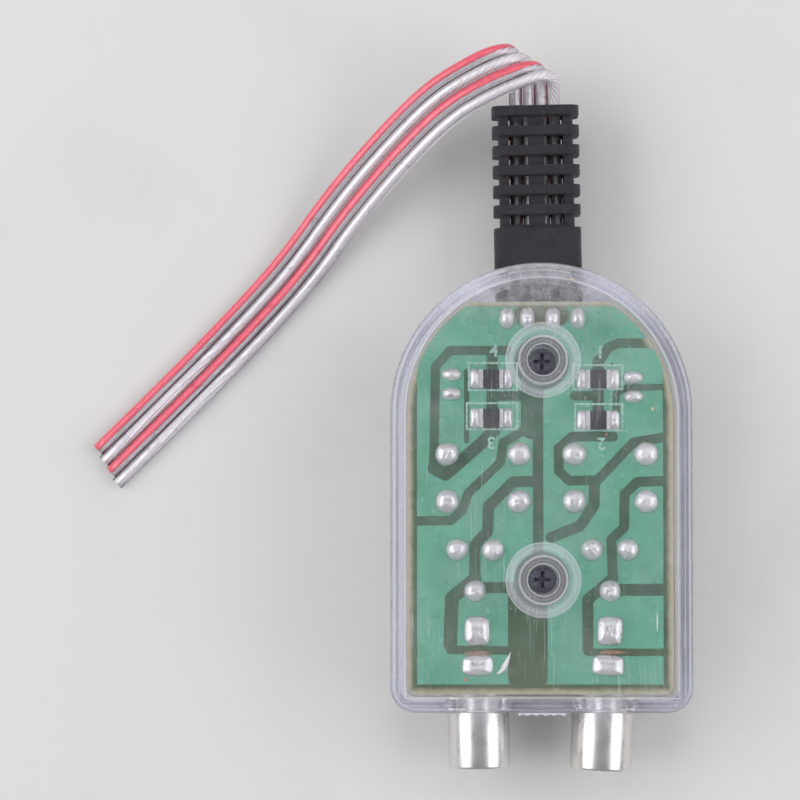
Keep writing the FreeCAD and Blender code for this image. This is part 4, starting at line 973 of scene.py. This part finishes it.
class BoardDressing(Builder):
    """The solder, the printed frames and numbers, and the small stains on the board."""

    SPOTS = (
        Mark("speck_dark", *mm(9.68, 16.57, 0.2, 0.2), "dark_dot"),
        Mark("speck_brown_left", *mm(-4.67, 12.28, 0.2, 0.2), "flux"),
        Mark("speck_brown_right", *mm(6.06, 12.01, 0.2, 0.22), "flux"),
        Mark("speck_brown_low", *mm(8.88, 7.19, 0.22, 0.2), "flux"),
        Mark("speck_grey", *mm(-8.15, 16.7, 0.25, 0.22), "grey_dot"),
        Mark("speck_orange", *mm(-9.95, -25.55, 0.2, 0.2), "rust_dot"),
        Mark("flux_left", *mm(-8.35, -22.05, 1.8, 0.3), "flux"),
        Mark("flux_right", *mm(9.5, -21.95, 1.9, 0.28), "flux"),
    )
    sizes = BoardSizes()
    chance = random.Random(7)

    def pin_corners(self, node: str) -> Section:
        """Finds the four corners in plan at which a node's outermost pins stand.

        Args:
            node: The node with the pins.

        Returns:
            The corners.
        """
        low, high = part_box(node)
        pin = self.sizes.pin
        xs, ys = (low.x + pin, high.x - pin), (low.y + pin, high.y - pin)
        return [(x, y) for x in xs for y in ys]

    def joints(self) -> list[Joint]:
        """Lists every joint of solder on the board.

        Returns:
            The joints.
        """
        found = []
        sizes = self.sizes
        pin = sizes.pin
        for side, jack_x, toe in zip(SIDES, sizes.jack_xs, sizes.jack_toes):
            for x, y in self.pin_corners(f"transformer_{side}_pins"):
                found.append(Joint(x, y, sizes.transformer))
            low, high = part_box(f"trimmer_{side}_pins")
            middle = (low.x + high.x) / 2
            for x, y in ((low.x + pin, high.y - pin), (high.x - pin, high.y - pin), (middle, low.y + pin)):
                found.append(Joint(x, y, sizes.trimmer))
            low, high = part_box(f"capacitor_{side}_leads")
            middle = (low.x + high.x) / 2
            for y in (low.y + pin, high.y - pin):
                found.append(Joint(middle, y, sizes.capacitor))
            for depth, form in sizes.legs:
                x, y = jack_x - depth * math.sin(toe), sizes.wall_y + depth * math.cos(toe)
                found.append(Joint(x, y, form, toe))
        for number in range(1, 5):
            low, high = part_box(f"resistor_{number}")
            x, y = (low.x + high.x) / 2, (low.y + high.y) / 2
            for sign in (-1, 1):
                found.append(Joint(x + sign * sizes.chip_reach, y, sizes.chip))
        leads = LeadSizes()
        for x in leads.pads:
            found.append(Joint(x, leads.pad_y, sizes.wire))
        return found

    def mound(self, maker: MeshMaker, joint: Joint, steps: int = 28, levels: int = 9) -> None:
        """Adds one joint of solder: a foot that flows out, a crown and sometimes a dimple.

        Args:
            maker: The mesh that takes the faces.
            joint: The joint.
            steps: Points round it.
            levels: Rings from its foot to its crown.
        """
        form = joint.form
        features, spread, swell = self.sizes.ripple
        seed = Vector([self.chance.uniform(0, 90) for _ in range(3)])
        turn = Matrix.Rotation(joint.turn, 2)
        power = 2 / form.square
        rings = []
        for level in range(levels):
            share = 1 - level / levels
            height = form.height * (1 - share ** self.sizes.foot) * (1 - form.dimple * (1 - share) ** 3)
            ring = []
            for step in range(steps):
                angle = 2 * math.pi * step / steps
                cosine, sine = math.cos(angle), math.sin(angle)
                ripple = noise.noise(seed + Vector((cosine, sine, share)) * features)
                stretch = 1 + spread * ripple
                x = math.copysign(abs(cosine) ** power, cosine) * form.half_x * share * stretch
                y = math.copysign(abs(sine) ** power, sine) * form.half_y * share * stretch
                turned = turn @ Vector((x, y))
                corner = form.corners * math.sin(2 * angle) ** 2 * share ** 2 * (1 - share) * 4
                lift = max(height * (1 + swell * ripple * (1 - share) + corner), 0.0)
                ring.append(Vector((joint.x + turned.x, joint.y + turned.y, self.sizes.top + lift)))
            rings.append(maker.ring(ring))
        maker.tube(rings, closed=False)
        centre = maker.ring([sum((maker.points[index] for index in rings[-1]), Vector()) / steps])[0]
        for index in range(steps):
            maker.faces.append((rings[-1][index], rings[-1][(index + 1) % steps], centre))

    def solder(self) -> None:
        """Makes all the joints as one piece."""
        maker = MeshMaker()
        for joint in self.joints():
            self.mound(maker, joint)
        piece = maker.piece("solder_work", self.palette.get("solder"))
        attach(piece, "case")
        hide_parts("solder_joints")

    def printed_frames(self) -> None:
        """Makes the thin printed frames round the chip resistors."""
        maker = MeshMaker()
        lift, thick = self.sizes.frame_ink
        level, line = self.sizes.top + lift, self.sizes.line
        for left, right, low, high in self.sizes.frames:
            loops = []
            for inner, rise in ((0.0, 0.0), (0.0, thick), (line, thick), (line, 0.0)):
                corners = ((left + inner, low + inner), (right - inner, low + inner),
                           (right - inner, high - inner), (left + inner, high - inner))
                loops.append(maker.ring([Vector((x, y, level + rise)) for x, y in corners]))
            for before, after in zip(loops, loops[1:] + loops[:1]):
                maker.bridge(before, after)
        piece = maker.piece("printed_frames", self.palette.get("print_ink"), smooth=False)
        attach(piece, "case")

    def printed_numbers(self) -> None:
        """Makes the plain printed numbers beside the chip resistors."""
        places = (("4", *mm(-6.14, 18.31), False), ("1", *mm(8.07, 18.05), False),
                  ("3", *mm(-6.54, 6.11), True), ("2", *mm(8.21, 5.98), True))
        height, font_size = self.sizes.digit
        lift, thick, bold = self.sizes.digit_ink
        for text, x, y, upside_down in places:
            curve = bpy.data.curves.new(f"printed_{text}", "FONT")
            curve.body = text
            curve.size = height * font_size
            curve.align_x = "CENTER"
            curve.align_y = "CENTER"
            curve.extrude = thick
            curve.offset = bold
            curve.materials.append(self.palette.get("print_ink"))
            item = bpy.data.objects.new(f"printed_{text}", curve)
            item.location = (x, y, self.sizes.top + lift)
            item.rotation_euler.z = math.pi if upside_down else 0.0
            bpy.context.scene.collection.objects.link(item)
            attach(item, "case")
            LOG.info("printed number at %.1f, %.1f mm", x / MM, y / MM)

    def build(self) -> None:
        """Makes the solder, the print and the stains."""
        self.solder()
        self.printed_frames()
        self.printed_numbers()
        for spot in self.SPOTS:
            self.spot(spot, self.sizes.top + self.sizes.stain, self.chance, "laminate")


# CAD nodes and the marks on the case


class Dresser(Builder):
    """Gives the CAD nodes their materials and softens their edges."""

    SOFT = {"strain_relief": 0.16 * MM, "jack_left_sleeve": 0.08 * MM, "jack_right_sleeve": 0.08 * MM,
            "transformer_left_bobbin": 0.1 * MM, "transformer_right_bobbin": 0.1 * MM}
    WELD = 0.001 * MM
    SEGMENTS = 3
    ANGLE = math.radians(35)

    def build(self) -> None:
        """Assigns every node the material of its slot and adds the edge modifiers."""
        for entry in frame["record"]["subparts"]:
            item = frame["nodes"][entry["node"]]
            material = self.palette.get(entry["material_slot"])
            if not item.material_slots:
                item.data.materials.append(material)
            for holder in item.material_slots:
                holder.material = material
            LOG.info("%s: %s", entry["node"], material.name)
        for node, width in self.SOFT.items():
            item = frame["nodes"][node]
            weld = item.modifiers.new("weld", "WELD")
            weld.merge_threshold = self.WELD
            bevel = item.modifiers.new("bevel", "BEVEL")
            bevel.width = width
            bevel.segments = self.SEGMENTS
            bevel.limit_method = "ANGLE"
            bevel.angle_limit = self.ANGLE
            bevel.use_clamp_overlap = True


class CaseMarks(Builder):
    """The flecks, chips and single scratches on the case's front face."""

    FACE = 22.0 * MM
    TIP = 0.12
    RISE = 0.35
    SPOTS = (
        Mark("face_fleck", *mm(4.05, 27.4, 0.3, 0.22), "beige_fleck"),
        Mark("face_speck", *mm(14.6, 10.3, 0.22, 0.28), "beige_fleck"),
    )
    chance = random.Random(11)

    def streak(self, name: str, points: Sequence[tuple[float, float]], width: float) -> None:
        """Makes a raised white mark that tapers to both its ends.

        Args:
            name: The piece's name.
            points: The control points of its line, in plan.
            width: Its width at the middle.
        """
        line = Line([Vector((x, y, self.FACE)) for x, y in points], 10)
        maker = MeshMaker()
        rings = []
        last = len(line.points) - 1
        for index, (point, way) in enumerate(zip(line.points, line.ways())):
            half = width / 2 * max(math.sin(math.pi * index / last), self.TIP)
            side = Vector((-way.y, way.x, 0.0)) * half
            up = Vector((0.0, 0.0, half * self.RISE))
            rings.append(maker.ring([point + side, point + up, point - side]))
        maker.tube(rings)
        piece = maker.piece(name, self.palette.get("frost"))
        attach(piece, "case")

    def build(self) -> None:
        """Makes the marks."""
        chip = (mm(-4.1, -21.7), mm(-4.55, -22.8), mm(-5.3, -24.3), mm(-6.0, -24.5))
        self.streak("face_chip", chip, 0.75 * MM)
        self.streak("face_scratch", (mm(15.1, -16.3), mm(15.2, -17.6), mm(15.1, -19.0)), 0.2 * MM)
        for spot in self.SPOTS:
            self.spot(spot, self.FACE, self.chance, "clear_shell")


# Camera, floor and light


@dataclass(frozen=True)
class Lamp:
    """A soft lamp: where it hangs, its width and height, and its power."""

    name: str
    place: Point
    size: tuple[float, float]
    power: float
    target: Point = (0.0, 0.0, 0.0)


@dataclass(frozen=True)
class StudioSizes:
    """The camera, the floor and the lamps, with their powers in watts."""

    eye: Point = mm(-12.585, -6.359, 453.527)
    target: Point = mm(-18.763, 11.928, 11.0)
    lens: float = 147.66
    sensor: float = 36.0
    clip: tuple[float, float] = (0.01, 10.0)
    floor_half: float = 1.2
    floor_level: float = -0.1 * MM
    sky: Colour = (0.3, 0.3, 0.31)
    lamps: tuple[Lamp, ...] = (
        Lamp("lamp_left", (-0.55, 0.05, 0.42), (0.5, 0.8), 2.6),
        Lamp("lamp_right", (0.55, 0.02, 0.42), (0.5, 0.8), 2.2),
        Lamp("lamp_top", (0.0, 0.45, 0.75), (0.7, 0.5), 0.9),
    )


def aimed(eye: Vector, target: Vector, up: Vector) -> Matrix:
    """Returns the transform of something at one point that looks at another.

    Args:
        eye: Where it stands.
        target: What it looks at.
        up: The way that is up in its view.

    Returns:
        The transform.
    """
    back = (eye - target).normalized()
    right = up.cross(back).normalized()
    turn = Matrix((right, back.cross(right), back)).transposed().to_4x4()
    return Matrix.Translation(eye) @ turn


class Studio(Builder):
    """The camera, the pale floor and the soft light."""

    sizes = StudioSizes()

    def camera(self) -> None:
        """Makes the camera at the photograph's place."""
        data = bpy.data.cameras.new("camera")
        data.lens = self.sizes.lens
        data.sensor_width = self.sizes.sensor
        data.clip_start, data.clip_end = self.sizes.clip
        item = bpy.data.objects.new("camera", data)
        item.matrix_world = aimed(Vector(self.sizes.eye), Vector(self.sizes.target), Vector((0.0, 1.0, 0.0)))
        bpy.context.scene.collection.objects.link(item)
        bpy.context.scene.camera = item
        LOG.info("camera: lens %.1f mm", data.lens)

    def floor(self) -> None:
        """Makes the floor."""
        maker = MeshMaker()
        half, level = self.sizes.floor_half, self.sizes.floor_level
        corners = ((-half, -half), (half, -half), (half, half), (-half, half))
        maker.fan(maker.ring([Vector((x, y, level)) for x, y in corners]))
        maker.piece("floor", self.palette.get("floor"), smooth=False)

    def light(self) -> None:
        """Makes the lamps and the plain sky."""
        for lamp in self.sizes.lamps:
            data = bpy.data.lights.new(lamp.name, "AREA")
            data.shape = "RECTANGLE"
            data.size, data.size_y = lamp.size
            data.energy = lamp.power
            item = bpy.data.objects.new(lamp.name, data)
            item.matrix_world = aimed(Vector(lamp.place), Vector(lamp.target), Vector((0.0, 1.0, 0.01)))
            bpy.context.scene.collection.objects.link(item)
            LOG.info("%s: %.1f W", lamp.name, lamp.power)
        world = bpy.data.worlds.new("sky")
        world.use_nodes = True
        world.node_tree.nodes["Background"].inputs["Color"].default_value = (*self.sizes.sky, 1.0)
        bpy.context.scene.world = world

    def build(self) -> None:
        """Makes the whole studio."""
        self.camera()
        self.floor()
        self.light()
        bpy.context.scene.view_settings.view_transform = "Standard"


def main() -> None:
    """Builds the scene."""
    logging.basicConfig(level=logging.INFO, format="%(name)s: %(message)s")
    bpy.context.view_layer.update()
    palette = Palette()
    Studio(palette).build()
    Cable(palette).build()
    Dresser(palette).build()
    BoardDressing(palette).build()
    CaseMarks(palette).build()
    bpy.context.view_layer.update()


if __name__ == "__main__":
    main()
